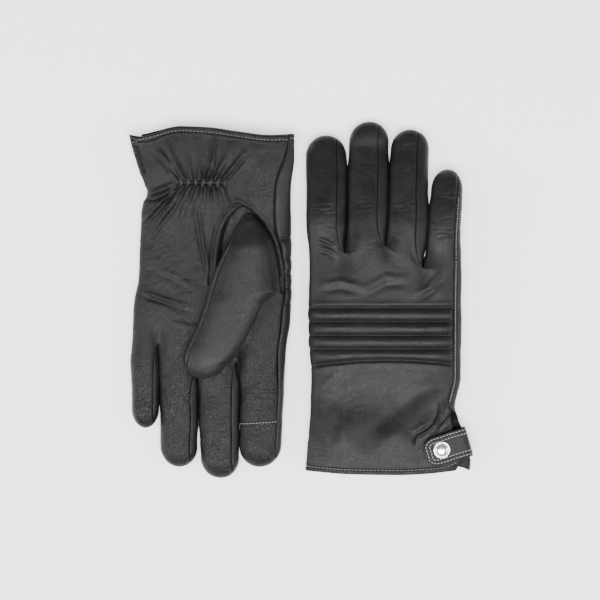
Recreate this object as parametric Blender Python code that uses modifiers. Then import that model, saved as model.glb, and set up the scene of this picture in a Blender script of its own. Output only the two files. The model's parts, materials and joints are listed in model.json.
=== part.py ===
"""A pair of lined leather dress gloves, lying flat side by side.

Each glove is built in its own frame, in millimetres: x runs across the hand from the thumb side to the
little finger, y from the cuff to the fingertips, z out of the back of the hand, and z = 0 is the table.
The right glove lies back up in that frame. The left glove is its mirror twin lying palm up, which is the
same frame turned through its own origin, so its parent empty carries a scale of -1 on all three axes.

The leather of each finger is cut at the finger's fold, so that the finger can bend there, and the leather
of the thumb where it lifts off the palm.
"""

import math

import bmesh
import bpy
import numpy as np
from mathutils import Matrix, Vector

MM = 0.001
LEATHER = 0.9  # thickness of the outer leather
KNIT = 0.8  # thickness of the lining
PADDING = 0.9  # thickness of the wadding, the elastic and the turned-in hem, which lie over the lining
GAP = 0.3  # clearance between neighbouring pieces
WELD = 0.02  # points of one sheet that lie this close are one point
LINING_DEPTH = LEATHER + PADDING + 3 * GAP  # from the outer surface to the lining

# Cross-sections are superellipses: |x / half_width| ** power + |z / half_height| ** 2 = 1
HAND_POWER = 5.0
FINGER_POWER = 3.0

FINGERS = ("index", "middle", "ring", "pinky")
ROOT_LENGTH = 22.0  # over this length past the crotch the hand's section turns into the finger's
WEB_SLOPE = 7.0  # the palm's crotches lie this much nearer the fingertips than the back's
TIP_LENGTH = 15.0  # length of the rounded fingertip
FOLD_ANGLE = 80.0  # how far a finger folds towards the palm, in degrees
FOLD_DEPTH = 3.0  # the fold's axis lies this far from the finger's middle, towards the palm

RADIAL_SEAM = 0.74  # the back wraps this far, in radians, round the thumb side onto the palm
ULNAR_SEAM = 0.67  # the palm wraps this far round the little-finger side onto the back
INDEX_SEAM, PINKY_SEAM = 1.0, 0.86  # the same seams on the index and on the little finger
# Two seams of a finger, as shares of its half width from its middle: its back meets its little-finger side
# at the first, and its palm meets its thumb side at the second
BACK_SEAM = 0.43
PALM_SEAM = 0.62
SIDE_SEAM = 0.1  # the other two seams of a finger, in radians from its middle plane
SEAM_TURN = 0.03  # a panel stops this far short of its seam, in radians
SEAM_LIFT = 0.3  # and the back and the palm stand this far apart from the middle plane

TOUCH_SEAM = 205.5  # y of the seam between the index finger's palm and its touch-screen tip
VENT_LENGTH = 46.0  # slit in the little-finger side of the cuff
CUFF_ARC = 3.0  # the cuff's edge rises this much from the middle to the sides
LINING_START, LINING_END, LINING_SIDES = 3.0, 134.0, 22
WEB_EDGE = 0.12  # a fourchette stops this share of the hand's height short of the back and of the palm
STRIP_ROWS = (0, 0.1, 0.2, 0.28, 0.36, 0.5, 0.7, 0.85, 1)  # places of the sections from cuff to crotch
TIP_ROWS = (0.45, 0.75, 0.92, 0.985)  # places of the sections along a rounded fingertip
THUMB_RIM = 0.5  # at its root the thumb's leather turns in this far, in radians, towards the thumb hole

RIB_START, RIB_END = 77.0, 114.5  # the quilted band across the back
ELASTIC_Y, ELASTIC_HALF = 36.8, 3.0  # the elastic at the wrist, on the palm side
ELASTIC_FROM, ELASTIC_TO = -10.0, 26.0

SNAP_Y = 16.1  # y of the snap's centre; its x is a size of each glove
STUD_RADIUS, SOCKET_RADIUS, CAP_RADIUS, RIVET_RADIUS = 3.8, 4.6, 5.7, 2.0
STRAP_TURN = 16.0  # degrees between the strap and the x axis
STRAP_HALF_WIDTH = 10.2
STRAP_TIP, STRAP_FLAT = 12.2, 16.0  # from the snap to the rounded end, and to where the strap curls down
STRAP_CURL = 4.6  # outer radius of the curl round the cuff's edge
STRAP_DROP = 3.0  # straight length past the curl, down to where the strap is sewn on
STRAP_RISE = 4.7  # from the back's leather to the top of the strap

THUMB_FROM, THUMB_TO = 53.0, 173.4  # y of the thumb's root end and of its tip
THUMB_FOLD = 118.0  # y of the line where the thumb lifts off the palm, just past its sewn base
HOLE_CENTRE, HOLE_HALF_WIDTH, HOLE_HALF_LENGTH = (-28.0, 90.0), 17.0, 29.0


def profile(*knots):
    """A smooth curve through (position, value) knots that never overshoots them, level past the ends."""
    at, value = np.array(knots, float).T
    slope = np.diff(value) / np.diff(at)
    tangent = np.zeros(len(at))
    same_way = slope[:-1] * slope[1:] > 0
    mean = 2 * slope[:-1] * slope[1:] / np.where(same_way, slope[:-1] + slope[1:], 1)
    tangent[1:-1] = np.where(same_way, mean, 0)
    tangent[0], tangent[-1] = slope[0], slope[-1]

    def curve(position):
        position = np.clip(position, at[0], at[-1])
        k = np.clip(np.searchsorted(at, position, "right") - 1, 0, len(at) - 2)
        step = at[k + 1] - at[k]
        t = (position - at[k]) / step
        start = (1 + 2 * t) * (1 - t) ** 2 * value[k] + t * (1 - t) ** 2 * step * tangent[k]
        end = t * t * (3 - 2 * t) * value[k + 1] + t * t * (t - 1) * step * tangent[k + 1]
        return start + end

    return curve


def smooth(t):
    t = np.clip(t, 0, 1)
    return t * t * (3 - 2 * t)


# The thumb as it lies over the palm: x of its middle, and half its width, along the hand
THUMB_CENTRE = profile((53, -29), (85, -29.5), (112, -24.6), (134, -14.2), (160, -0.2), (173, 4))
THUMB_HALF = profile((53, 15), (85, 20), (112, 24), (134, 20.3), (160, 16.3), (173, 13.5))


class Finger:
    """One finger: x of its centre at the fold, y of the fold, lean in degrees, half sizes and tip."""

    def __init__(self, x, fold, lean, half_width, half_height, tip):
        self.x, self.fold, self.tip = x, fold, tip
        self.half_width, self.half_height = half_width, half_height
        self.slope = math.tan(math.radians(lean))

    def centre(self, y):
        return self.x + (y - self.fold) * self.slope

    def round_off(self, y):
        """How much of the full section is left at y."""
        tip = np.clip((y - self.tip + TIP_LENGTH) / TIP_LENGTH, 0, 1)
        return np.sqrt(1 - tip**2.2)

    def seam(self, y, share):
        """The angle of a seam at that share of the half width, which falls to the edge at the tip."""
        left = np.maximum(self.round_off(y), 1e-6)
        return np.arccos(np.clip(share / left, 0, 1) ** (FINGER_POWER / 2))

    def seam_end(self, share):
        """y where a seam at that share of the half width has nearly reached the edge."""
        left = share / math.cos(0.35) ** (2 / FINGER_POWER)
        return self.tip - TIP_LENGTH * (1 - (1 - left**2) ** (1 / 2.2))

    def side_seam(self, y, angle):
        """A seam at that angle, which falls to the edge where the tip starts to round."""
        return angle * smooth((self.tip - 2 - y) / TIP_LENGTH)


class Glove:
    """The sizes of one glove as it lies: its outline, its height over the table and its fingers."""

    def __init__(self, side, radial, ulnar, flare, mid, crotches, fingers, thumb, snap_x, palm_up):
        self.side = side
        self.radial, self.ulnar = profile(*radial), profile(*ulnar)
        self.flare, self.mid = profile(*flare), profile(*mid)
        self.half = profile((0, 6.6), (40, 7.4), (90, 8.0), (150, 8.1), (240, 7.8))
        self.crotches = crotches
        self.fingers = fingers
        self.thumb_shift, self.thumb_height = thumb
        self.snap_x = snap_x
        self.palm_up = palm_up

    def lay(self, points):
        """Flattens what would reach below the table."""
        z = points[..., 2]
        points[..., 2] = np.minimum(z, 0) if self.palm_up else np.maximum(z, 0)
        return points

    def hand(self, y, angle, inset=0.0):
        """Points of the hand's outer surface, or of one that lies inset inside it."""
        left, right = self.radial(y), self.ulnar(y)
        centre, half_width = (left + right) / 2, (right - left) / 2 - inset
        across, up = np.cos(angle), np.sin(angle)
        x = centre + half_width * np.sign(across) * np.abs(across) ** (2 / HAND_POWER)
        return np.stack([x, y + 0 * x, self.mid(y) + (self.half(y) - inset) * up], -1)

    def hand_angle(self, x, y):
        """The angle on the back of the hand of the point at x."""
        left, right = self.radial(y), self.ulnar(y)
        across = (x - (left + right) / 2) / ((right - left) / 2)
        return math.acos(math.copysign(abs(across) ** (HAND_POWER / 2), across))

    def finger(self, k, y, angle):
        """Points of a finger's outer surface."""
        f = self.fingers[k]
        across, up = np.cos(angle), np.sin(angle)
        half_width, half_height = f.half_width * f.round_off(y), f.half_height * f.round_off(y)
        x = f.centre(y) + half_width * np.sign(across) * np.abs(across) ** (2 / FINGER_POWER)
        return np.stack([x, y + 0 * x, self.mid(y) + half_height * up], -1)

    def palm_level(self, y):
        """z of the palm's surface at the middle of the hand."""
        return self.mid(y) - self.half(y)

    def thumb_axis(self):
        """The middle of the line about which the thumb lifts off the palm, on its outer side, along x."""
        x = THUMB_CENTRE(THUMB_FOLD) + self.thumb_shift
        level = self.palm_level(THUMB_FOLD) - GAP - self.thumb_height - 3.5 * SEAM_LIFT
        return Vector((float(x), THUMB_FOLD, float(level)))

    def fold(self, k):
        """The middle of the finger's fold axis, which runs along x."""
        f = self.fingers[k]
        return Vector((float(f.centre(f.fold)), f.fold, float(self.mid(f.fold)) - FOLD_DEPTH))

    def edge_of_fold(self, k, z, way):
        """y where the leather stops at a fold, -1 on the hand's side of it and 1 on the fingertip's. The gap
        is a notch on the palm side, which closes as the finger folds."""
        axis = self.fold(k)
        notch = math.tan(math.radians(FOLD_ANGLE / 2 + 2))
        return axis.y + way * (GAP + np.maximum(axis.z - z, 0) * notch)

    def finger_edges(self, k, y, palm):
        """Angles of the thumb-side and little-finger-side edges of a finger's back or palm."""
        f = self.fingers[k]
        if palm:
            thumb_side = f.side_seam(y, INDEX_SEAM) if k == 0 else f.seam(y, PALM_SEAM)
            far_side = f.side_seam(y, PINKY_SEAM) if k == 3 else -f.side_seam(y, SIDE_SEAM)
            return -math.pi + thumb_side + SEAM_TURN, far_side - SEAM_TURN
        thumb_side = f.side_seam(y, INDEX_SEAM) if k == 0 else -f.side_seam(y, SIDE_SEAM)
        far_side = f.side_seam(y, PINKY_SEAM) if k == 3 else f.seam(y, BACK_SEAM)
        return math.pi + thumb_side - SEAM_TURN, far_side + SEAM_TURN

    def side_edges(self, k, y, far):
        """Angles of a fourchette's palm and back edges, on the finger's far side or on its thumb side."""
        f = self.fingers[k]
        if far:
            return -f.side_seam(y, SIDE_SEAM) + SEAM_TURN, f.seam(y, BACK_SEAM) - SEAM_TURN
        return math.pi + f.seam(y, PALM_SEAM) - SEAM_TURN, math.pi - f.side_seam(y, SIDE_SEAM) + SEAM_TURN


RIGHT = Glove(
    "right",
    radial=[(0, -54), (25, -52.3), (60, -50), (112, -52), (150, -51.8), (200, -54)],
    ulnar=[(0, 52), (25, 50.5), (46, 50), (67, 54), (110, 54.2), (200, 55.8)],
    flare=[(0, 10), (12, 11), (28, 7), (46, 0)],
    mid=[(0, 6.6), (20, 8.6), (62, 19.6), (168, 19.4), (228, 7.7)],
    crotches=[(-26.6, 152.6), (1.8, 157.2), (27.5, 142.1)],
    fingers=[
        Finger(-39.8, 184, 0.5, 14.1, 7.8, 236),
        Finger(-10.8, 189, 1.6, 14.0, 7.8, 245.7),
        Finger(17.7, 186, 1.9, 13.5, 7.8, 240),
        Finger(42.7, 168, 3.6, 11.0, 7.2, 212),
    ],
    thumb=(4.5, 10.2),
    snap_x=40.8,
    palm_up=False,
)
LEFT = Glove(
    "left",
    radial=[(0, -61), (21, -60.4), (42, -58), (110, -58.6), (130, -58), (155, -55.3), (200, -53)],
    ulnar=[(0, 49), (25, 45.5), (44, 43.3), (60, 47.4), (100, 48.3), (122, 51.8), (164, 54), (200, 54.4)],
    flare=[(0, 7), (10, 6.5), (28, 3.5), (46, 0)],
    mid=[(0, -13.9), (16, -14.4), (45, -12.4), (80, -8.0), (165, -7.9), (240, -7.7)],
    crotches=[(-19.5, 155), (6.8, 159), (34.3, 141.6)],
    fingers=[
        Finger(-38.6, 184, 2.4, 14.4, 7.8, 235.9),
        Finger(-7.4, 187, -1.6, 13.5, 7.8, 243.6),
        Finger(20.7, 184, -0.7, 13.0, 7.8, 235.9),
        Finger(44.8, 166, -1.6, 9.7, 7.2, 208.6),
    ],
    thumb=(0.0, 11.8),
    snap_x=30.5,
    palm_up=True,
)
# Where each glove's frame stands in the pair's frame, and whether it is turned through its origin
PLACES = {"right": (Vector((57.15, -120.75, 0)), 1), "left": (Vector((-65.35, 118.65, 0)), -1)}


class Builder:
    """Makes the objects of one glove, parented to the glove's empty, with their origins on their joints."""

    def __init__(self, glove, parts, cutters, materials):
        self.glove, self.parts, self.cutters, self.materials = glove, parts, cutters, materials
        place, turn = PLACES[glove.side]
        self.frame = bpy.data.objects.new(glove.side + "_glove", None)
        self.frame.location = place * MM
        self.frame.scale = (turn, turn, turn)
        parts.objects.link(self.frame)

    def add(self, name, mesh, finish, origin=None):
        origin = origin or Vector((0, 0, 0))
        mesh.transform(Matrix.Translation(-origin))
        mesh.transform(Matrix.Scale(MM, 4))
        obj = bpy.data.objects.new(f"{self.glove.side}_{name}", mesh)
        obj.location = origin * MM
        obj.parent = self.frame
        if finish is None:
            obj.hide_render = True
            obj.display_type = "WIRE"
            self.cutters.objects.link(obj)
            return obj
        mesh.materials.append(self.materials[finish])
        mesh.shade_smooth()
        mesh.set_sharp_from_angle(angle=math.radians(40))
        self.parts.objects.link(obj)
        return obj

    def shell(self, name, grids, finish, origin=None, thickness=LEATHER, closed=False):
        """A sheet of leather or cloth: its outer surface from grids of points, thickened by Solidify."""
        grids = [self.glove.lay(grid) for grid in grids]
        obj = self.add(name, sheet_mesh(name, grids, closed), finish, origin)
        solid = obj.modifiers.new("thickness", "SOLIDIFY")
        solid.thickness = thickness * MM
        solid.offset = -1
        return obj


def cut(obj, cutter):
    made = obj.modifiers.new("cut", "BOOLEAN")
    made.operation = "DIFFERENCE"
    made.object = cutter


def sheet_mesh(name, grids, closed):
    """One surface from grids of points, rows by columns, joined where their points meet. Seen from outside,
    the columns run to the right as the rows run up."""
    work = bmesh.new()
    for grid in grids:
        rows, columns = grid.shape[:2]
        verts = [[work.verts.new(point) for point in row] for row in grid]
        for r in range(rows - 1):
            for c in range(columns if closed else columns - 1):
                d = (c + 1) % columns
                work.faces.new((verts[r][c], verts[r][d], verts[r + 1][d], verts[r + 1][c]))
    bmesh.ops.remove_doubles(work, verts=work.verts, dist=WELD)
    mesh = bpy.data.meshes.new(name)
    work.to_mesh(mesh)
    work.free()
    return mesh


def turned(steps, place, segments=16):
    """A turned solid with a flat bottom and top, from (radius, height) steps upwards."""
    work = bmesh.new()
    turn = np.linspace(0, 2 * math.pi, segments, endpoint=False)
    rings = []
    for radius, height in steps:
        rings.append([work.verts.new((radius * math.cos(a), radius * math.sin(a), height)) for a in turn])
    for lower, upper in zip(rings, rings[1:]):
        for k in range(segments):
            m = (k + 1) % segments
            work.faces.new((lower[k], lower[m], upper[m], upper[k]))
    work.faces.new(rings[0][::-1])
    work.faces.new(rings[-1])
    bmesh.ops.transform(work, matrix=Matrix.Translation(place), verts=work.verts)
    mesh = bpy.data.meshes.new("turned")
    work.to_mesh(mesh)
    work.free()
    return mesh


def shares(count, edge=0.07):
    """Places across a panel, with one more beside each edge, so that the edge's face is square to it."""
    return np.concatenate([[0], np.linspace(edge, 1 - edge, count), [1]])


def cuff_edge(angle):
    """y of the cuff's edge, which rises a little from the middle to the sides."""
    return CUFF_ARC * np.cos(angle) ** 2 - CUFF_ARC / 2


# --- the leather of the hand, from the cuff to the folds of the fingers


def crotch(glove, k, palm):
    """x and y of the crotch beyond finger k, on the back or on the palm."""
    x, y = glove.crotches[k]
    return x, y + (WEB_SLOPE if palm else 0)


def strip(glove, k, palm):
    """The strip of the back, or of the palm, that leads from the cuff into finger k. Its columns run from
    the thumb side to the far side."""
    share = shares(4 if k in (1, 2) else 7)
    before = crotch(glove, max(k - 1, 0), palm)
    after = crotch(glove, min(k, 2), palm)
    edges = [glove.hand_angle(*before), glove.hand_angle(*after)]
    if k == 0:
        edges[0] = math.pi
    if k == 3:
        edges[1] = 0.0
    if palm:
        edges = [-edges[0], -edges[1]]
    if k == 0:
        edges[0] += RADIAL_SEAM + (SEAM_TURN if palm else -SEAM_TURN)
    if k == 3:
        edges[1] += ULNAR_SEAM + (-SEAM_TURN if palm else SEAM_TURN)
    angle = edges[0] + (edges[1] - edges[0]) * share
    crotch_y = before[1] + (after[1] - before[1]) * share
    lift = -SEAM_LIFT if palm else SEAM_LIFT
    grid = []
    for t in STRIP_ROWS:
        cuff = cuff_edge(angle)
        y = cuff + (crotch_y - cuff) * t
        opened = angle
        if palm and k == 3:
            shut = edges[0] + (-0.25 - edges[0]) * share
            opened = angle + (shut - angle) * smooth((VENT_LENGTH - y) / 12)
        points = glove.hand(y, opened)
        if palm and k == 3:
            points[:, 0] += glove.flare(y) * share**3
        grid.append(points)
    for t in (1 / 3, 2 / 3, 1):
        edges_of = glove.finger_edges
        grid.append(root_row(glove, k, lambda y: glove.hand(y, angle), crotch_y, share, t, edges_of, palm))
    grid = np.array(grid)
    grid[..., 2] += lift
    return grid


def root_row(glove, k, from_hand, crotch_y, share, t, edges, kind):
    """One row of points between the crotch and the fold, where the hand's section, which from_hand gives
    at y, turns into the finger's between the two angles that edges gives."""
    y = crotch_y
    for _ in range(3):
        low, high = edges(k, y, kind)
        own = glove.finger(k, y, low + (high - low) * share)
        y = crotch_y + (glove.edge_of_fold(k, own[:, 2], -1) - crotch_y) * t
    mix = np.sin(math.pi / 2 * np.clip((y - crotch_y) / ROOT_LENGTH, 0, 1))[:, None]
    start = from_hand(y)
    own[:, 1] = y
    return start + (own - start) * mix


def web_leg(glove, k, far):
    """One leg of a fourchette, from the crotch to the fold. Its columns run from the palm to the back."""
    share = np.linspace(0, 1, 4)
    side = k if far else k - 1
    low, high = crotch(glove, side, True), crotch(glove, side, False)
    between = (WEB_EDGE + (1 - 2 * WEB_EDGE) * share)[:, None]

    def from_hand(y):
        palm, back = glove.hand(y, -glove.hand_angle(*low)), glove.hand(y, glove.hand_angle(*high))
        return palm + (back - palm) * between

    crotch_y = low[1] + (high[1] - low[1]) * share
    steps = np.linspace(0, 1, 4)
    edges_of = glove.side_edges
    return np.array([root_row(glove, k, from_hand, crotch_y, share, t, edges_of, far) for t in steps])


def add_hand(build):
    glove = build.glove
    build.shell("back_panel", [strip(glove, k, False) for k in range(4)], "back")
    palm_panel = build.shell("palm_panel", [strip(glove, k, True)[:, ::-1] for k in range(4)], "palm")
    for k in range(3):
        legs = [web_leg(glove, k, True)[:0:-1], web_leg(glove, k + 1, False)]
        build.shell(f"{FINGERS[k]}_{FINGERS[k + 1]}_fourchette", [np.concatenate(legs)], "side")
    around = np.linspace(0, 2 * math.pi, LINING_SIDES, endpoint=False)
    stations = np.linspace(LINING_START, LINING_END, 8)
    rows = [glove.hand(y + 0 * around, around, LINING_DEPTH) for y in stations]
    lining = build.shell("hand_lining", [np.array(rows)[::-1]], "lining", thickness=KNIT, closed=True)
    hole = build.add("thumb_hole", hole_mesh(glove), None)
    cut(palm_panel, hole)
    cut(lining, hole)
    add_between(build, "rib_padding", "padding", (RIB_START, RIB_END), (math.pi - 0.5, 0.8), 11)
    wrist = [-glove.hand_angle(x, ELASTIC_Y) for x in (ELASTIC_TO, ELASTIC_FROM)]
    stretch = (ELASTIC_Y - ELASTIC_HALF, ELASTIC_Y + ELASTIC_HALF)
    add_between(build, "wrist_elastic", "elastic", stretch, wrist, 5)


def add_between(build, name, finish, length, turn, columns):
    """A strip between the leather and the lining, over that length of the hand and that turn of its section."""
    around = np.linspace(*turn, columns)
    rows = [build.glove.hand(y + 0 * around, around, LEATHER + 1.5 * GAP) for y in np.linspace(*length, 3)]
    build.shell(name, [np.array(rows)], finish, thickness=PADDING)


def hole_mesh(glove):
    """The cutter of the thumb hole: an upright elliptical cylinder through the palm and its lining alone."""
    work = bmesh.new()
    bmesh.ops.create_cone(work, cap_ends=True, segments=20, radius1=1, radius2=1, depth=11)
    bmesh.ops.scale(work, verts=work.verts, vec=(HOLE_HALF_WIDTH, HOLE_HALF_LENGTH, 1))
    x, y = HOLE_CENTRE
    bmesh.ops.translate(work, verts=work.verts, vec=(x + glove.thumb_shift, y, glove.palm_level(y)))
    mesh = bpy.data.meshes.new("thumb_hole")
    work.to_mesh(mesh)
    work.free()
    return mesh


# --- the fingers, past their folds


def finger_grid(glove, k, edges, kind, columns, end=None, start=None):
    """A panel of a finger, from its fold, or from start, to its tip, or to end."""
    f = glove.fingers[k]
    round_y = f.tip - TIP_LENGTH
    end = f.tip if end is None else end
    share = shares(columns) if columns > 3 else np.linspace(0, 1, columns)
    first = np.full(len(share), float(f.fold if start is None else start))
    if start is None:
        for _ in range(3):
            low, high = edges(k, first, kind)
            first = glove.edge_of_fold(k, glove.finger(k, first, low + (high - low) * share)[:, 2], 1)
    straight_end = min(round_y, end)
    rows = [first + (straight_end - first) * t for t in (0, 0.5, 1)]
    tips = [round_y + TIP_LENGTH * t for t in TIP_ROWS]
    rows += [np.full(len(share), y) for y in tips if y < end - 0.1]
    if end > round_y:
        rows.append(np.full(len(share), end))
    grid = []
    for y in rows:
        low, high = edges(k, y, kind)
        grid.append(glove.finger(k, y, low + (high - low) * share))
    return np.array(grid)


def add_finger(build, k):
    glove, name, f = build.glove, FINGERS[k], build.glove.fingers[k]
    axis = glove.fold(k)
    back = finger_grid(glove, k, glove.finger_edges, False, 4)
    back[..., 2] += SEAM_LIFT
    build.shell(f"{name}_back", [back], "back", axis)
    lift = np.array([0, 0, -SEAM_LIFT])
    palm_end = TOUCH_SEAM - GAP if k == 0 else None
    palm = finger_grid(glove, k, glove.finger_edges, True, 4, palm_end) + lift
    build.shell(f"{name}_palm", [palm[:, ::-1]], "palm", axis)
    if k == 0:
        patch = finger_grid(glove, k, glove.finger_edges, True, 4, None, TOUCH_SEAM + GAP) + lift
        build.shell("touch_tip", [patch[:, ::-1]], "side", axis)
    if k < 3:
        side = finger_grid(glove, k, glove.side_edges, True, 3, f.seam_end(BACK_SEAM))
        build.shell(f"{name}_far_side", [side[:, ::-1]], "side", axis)
    if k > 0:
        side = finger_grid(glove, k, glove.side_edges, False, 3, f.seam_end(PALM_SEAM))
        build.shell(f"{name}_near_side", [side], "side", axis)


# --- the thumb, folded over the palm


def thumb_points(glove, y, angle):
    """Points of the thumb's outer surface. Half a turn, up to pi, faces the palm."""
    end = np.clip(np.maximum(THUMB_FROM + TIP_LENGTH - y, y - THUMB_TO + TIP_LENGTH) / TIP_LENGTH, 0, 1)
    round_off = np.sqrt(1 - end**2.2)
    half_height = glove.thumb_height / 2
    middle = glove.palm_level(y) - GAP - half_height - 2.5 * SEAM_LIFT
    across = np.cos(angle)
    across = np.sign(across) * np.abs(across) ** (2 / FINGER_POWER)
    x = THUMB_CENTRE(y) + glove.thumb_shift + THUMB_HALF(y) * round_off * across
    z = middle + half_height * round_off * np.sin(angle)
    return np.stack([x, y + 0 * x, z], -1)


def thumb_grid(glove, stations, turn, columns, lift):
    """A panel of the thumb from one angle down to another, over those values of y."""
    angle = turn[0] + (turn[1] - turn[0]) * shares(columns, 0.05)
    return np.array([thumb_points(glove, y + 0 * angle, angle) for y in stations]) + [0, 0, lift]


def add_thumb(build):
    """The thumb's leather, cut where the thumb lifts off the palm. Its base, which is sewn into the thumb
    hole, stays with the hand."""
    glove = build.glove
    axis = glove.thumb_axis()
    ends = [TIP_LENGTH * (1 - t) for t in (1, *TIP_ROWS[::-1])]
    base = [THUMB_FROM + end for end in ends]
    base += list(np.linspace(THUMB_FROM + TIP_LENGTH, THUMB_FOLD - GAP, 4))
    past = list(np.linspace(THUMB_FOLD + GAP, THUMB_TO - TIP_LENGTH, 4))
    past += [THUMB_TO - end for end in ends[::-1]]
    rim, seam = (THUMB_RIM, -math.pi - THUMB_RIM), (-SEAM_TURN, SEAM_TURN - math.pi)
    build.shell("thumb_base", [thumb_grid(glove, base, rim, 7, -SEAM_LIFT)], "palm")
    build.shell("thumb_outer", [thumb_grid(glove, past, seam, 7, -SEAM_LIFT)], "palm", axis)
    inner = thumb_grid(glove, past, (math.pi - SEAM_TURN, SEAM_TURN), 5, 1.5 * SEAM_LIFT)
    build.shell("thumb_inner", [inner], "back", axis)


# --- the wrist strap and its snap


def add_strap(build):
    glove = build.glove
    snap = Vector((glove.snap_x, SNAP_Y, 0))
    level = float(glove.mid(SNAP_Y) + glove.half(SNAP_Y))
    turn = Matrix.Rotation(math.radians(STRAP_TURN), 4, "Z")
    place = Matrix.Translation(snap) @ turn
    top = level + STRAP_RISE
    pivot = place @ Vector((STRAP_FLAT + STRAP_CURL, 0, top - STRAP_CURL - STRAP_DROP))
    rivet_hole = [(RIVET_RADIUS + GAP, level), (RIVET_RADIUS + GAP, top + 2)]
    hole = build.add("rivet_hole", turned(rivet_hole, snap), None)
    for name, depth, finish in (("strap_leather", 0, "back"), ("strap_backing", LEATHER + GAP, "palm")):
        grid = strap_grid(top, depth)
        placed = np.array([place @ Vector(p) for p in grid.reshape(-1, 3)]).reshape(grid.shape)
        cut(build.shell(name, [placed], finish, pivot), hole)
    under, over = top - 2 * LEATHER - 2 * GAP, top + GAP
    cap = [(SOCKET_RADIUS, under - 1.2), (SOCKET_RADIUS, under), (RIVET_RADIUS, under), (RIVET_RADIUS, over)]
    cap += [(CAP_RADIUS - 0.4, over), (CAP_RADIUS, over + 0.5), (CAP_RADIUS - 0.5, over + 1.1)]
    cap += [(CAP_RADIUS * 0.6, over + 1.7), (CAP_RADIUS * 0.25, over + 2.0)]
    build.add("snap_cap", turned(cap, snap), "snap", pivot)
    stud_foot = level + SEAM_LIFT + GAP
    stud = [(STUD_RADIUS, stud_foot), (STUD_RADIUS, stud_foot + 0.5)]
    build.add("snap_stud", turned(stud, snap), "snap")


def strap_grid(top, depth):
    """The strap's outer surface, at a depth under it, with x along the strap from the snap: a half-round
    end, a flat, a quarter-circle curl and a short drop."""
    width = STRAP_HALF_WIDTH
    stations = []
    for a in (0.12, 0.5, 0.9, 1.25, math.pi / 2):
        stations.append((-STRAP_TIP + width * (1 - math.cos(a)), width * math.sin(a), top - depth))
    stations.append((STRAP_FLAT / 2, width, top - depth))
    radius = STRAP_CURL - depth
    for a in (0, math.pi / 6, math.pi / 3, math.pi / 2):
        stations.append((STRAP_FLAT + radius * math.sin(a), width, top - STRAP_CURL + radius * math.cos(a)))
    stations.append((STRAP_FLAT + radius, width, top - STRAP_CURL - STRAP_DROP))
    across = np.array([-1, -0.6, 0, 0.6, 1])
    return np.array([[(x, half * c, z) for c in across[::-1]] for x, half, z in stations])


def clear_scene():
    for obj in list(bpy.data.objects):
        bpy.data.objects.remove(obj)


def collection(name):
    made = bpy.data.collections.new(name)
    bpy.context.scene.collection.children.link(made)
    return made


def material(name, colour, roughness, metallic=0.0):
    made = bpy.data.materials.new(name)
    made.use_nodes = True
    shader = made.node_tree.nodes["Principled BSDF"]
    shader.inputs["Base Color"].default_value = (*colour, 1)
    shader.inputs["Roughness"].default_value = roughness
    shader.inputs["Metallic"].default_value = metallic
    return made


def make_materials():
    return {
        "back": material("smooth_back_leather", (0.045, 0.043, 0.041), 0.45),
        "palm": material("grained_palm_leather", (0.050, 0.048, 0.046), 0.55),
        "side": material("fourchette_leather", (0.038, 0.036, 0.035), 0.5),
        "lining": material("knit_lining", (0.015, 0.015, 0.016), 0.95),
        "elastic": material("elastic", (0.02, 0.02, 0.02), 0.9),
        "padding": material("wadding", (0.12, 0.12, 0.12), 0.95),
        "snap": material("nickel_snap", (0.78, 0.78, 0.77), 0.2, 1.0),
    }


def main():
    clear_scene()
    parts, cutters = collection("leather_gloves"), collection("cutters")
    materials = make_materials()
    for glove in (RIGHT, LEFT):
        build = Builder(glove, parts, cutters, materials)
        add_hand(build)
        for k in range(4):
            add_finger(build, k)
        add_thumb(build)
        add_strap(build)


main()
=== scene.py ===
import json
import math

import bpy
import numpy as np
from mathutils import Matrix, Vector


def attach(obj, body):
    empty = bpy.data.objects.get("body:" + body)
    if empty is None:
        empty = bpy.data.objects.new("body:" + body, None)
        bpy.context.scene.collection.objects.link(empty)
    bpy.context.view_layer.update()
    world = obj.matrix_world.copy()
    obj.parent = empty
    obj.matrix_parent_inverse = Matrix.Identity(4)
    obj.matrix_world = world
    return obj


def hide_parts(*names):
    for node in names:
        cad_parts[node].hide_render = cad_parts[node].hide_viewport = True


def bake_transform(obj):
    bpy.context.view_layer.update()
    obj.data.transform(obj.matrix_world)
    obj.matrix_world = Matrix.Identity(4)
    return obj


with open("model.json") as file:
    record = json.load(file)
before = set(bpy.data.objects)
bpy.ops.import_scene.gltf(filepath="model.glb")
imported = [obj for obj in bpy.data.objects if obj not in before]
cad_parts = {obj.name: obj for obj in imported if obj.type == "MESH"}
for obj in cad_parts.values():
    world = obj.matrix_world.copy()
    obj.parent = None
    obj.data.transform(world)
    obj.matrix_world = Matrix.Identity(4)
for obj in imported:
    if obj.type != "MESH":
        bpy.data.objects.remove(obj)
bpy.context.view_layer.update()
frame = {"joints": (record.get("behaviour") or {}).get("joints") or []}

# The looks of a pair of black leather dress gloves. Each glove is modelled in its own frame, in
# millimetres: x runs across the hand from the thumb side to the little finger, y from the cuff to the
# fingertips, z out of the back of the hand. The left glove is the mirror twin of the right and lies palm
# up: its frame is turned through its own origin. A place round the hand or round a finger is an angle,
# from 0 at the little finger's side over the back to pi at the thumb's side, and negative on the palm.

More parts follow.
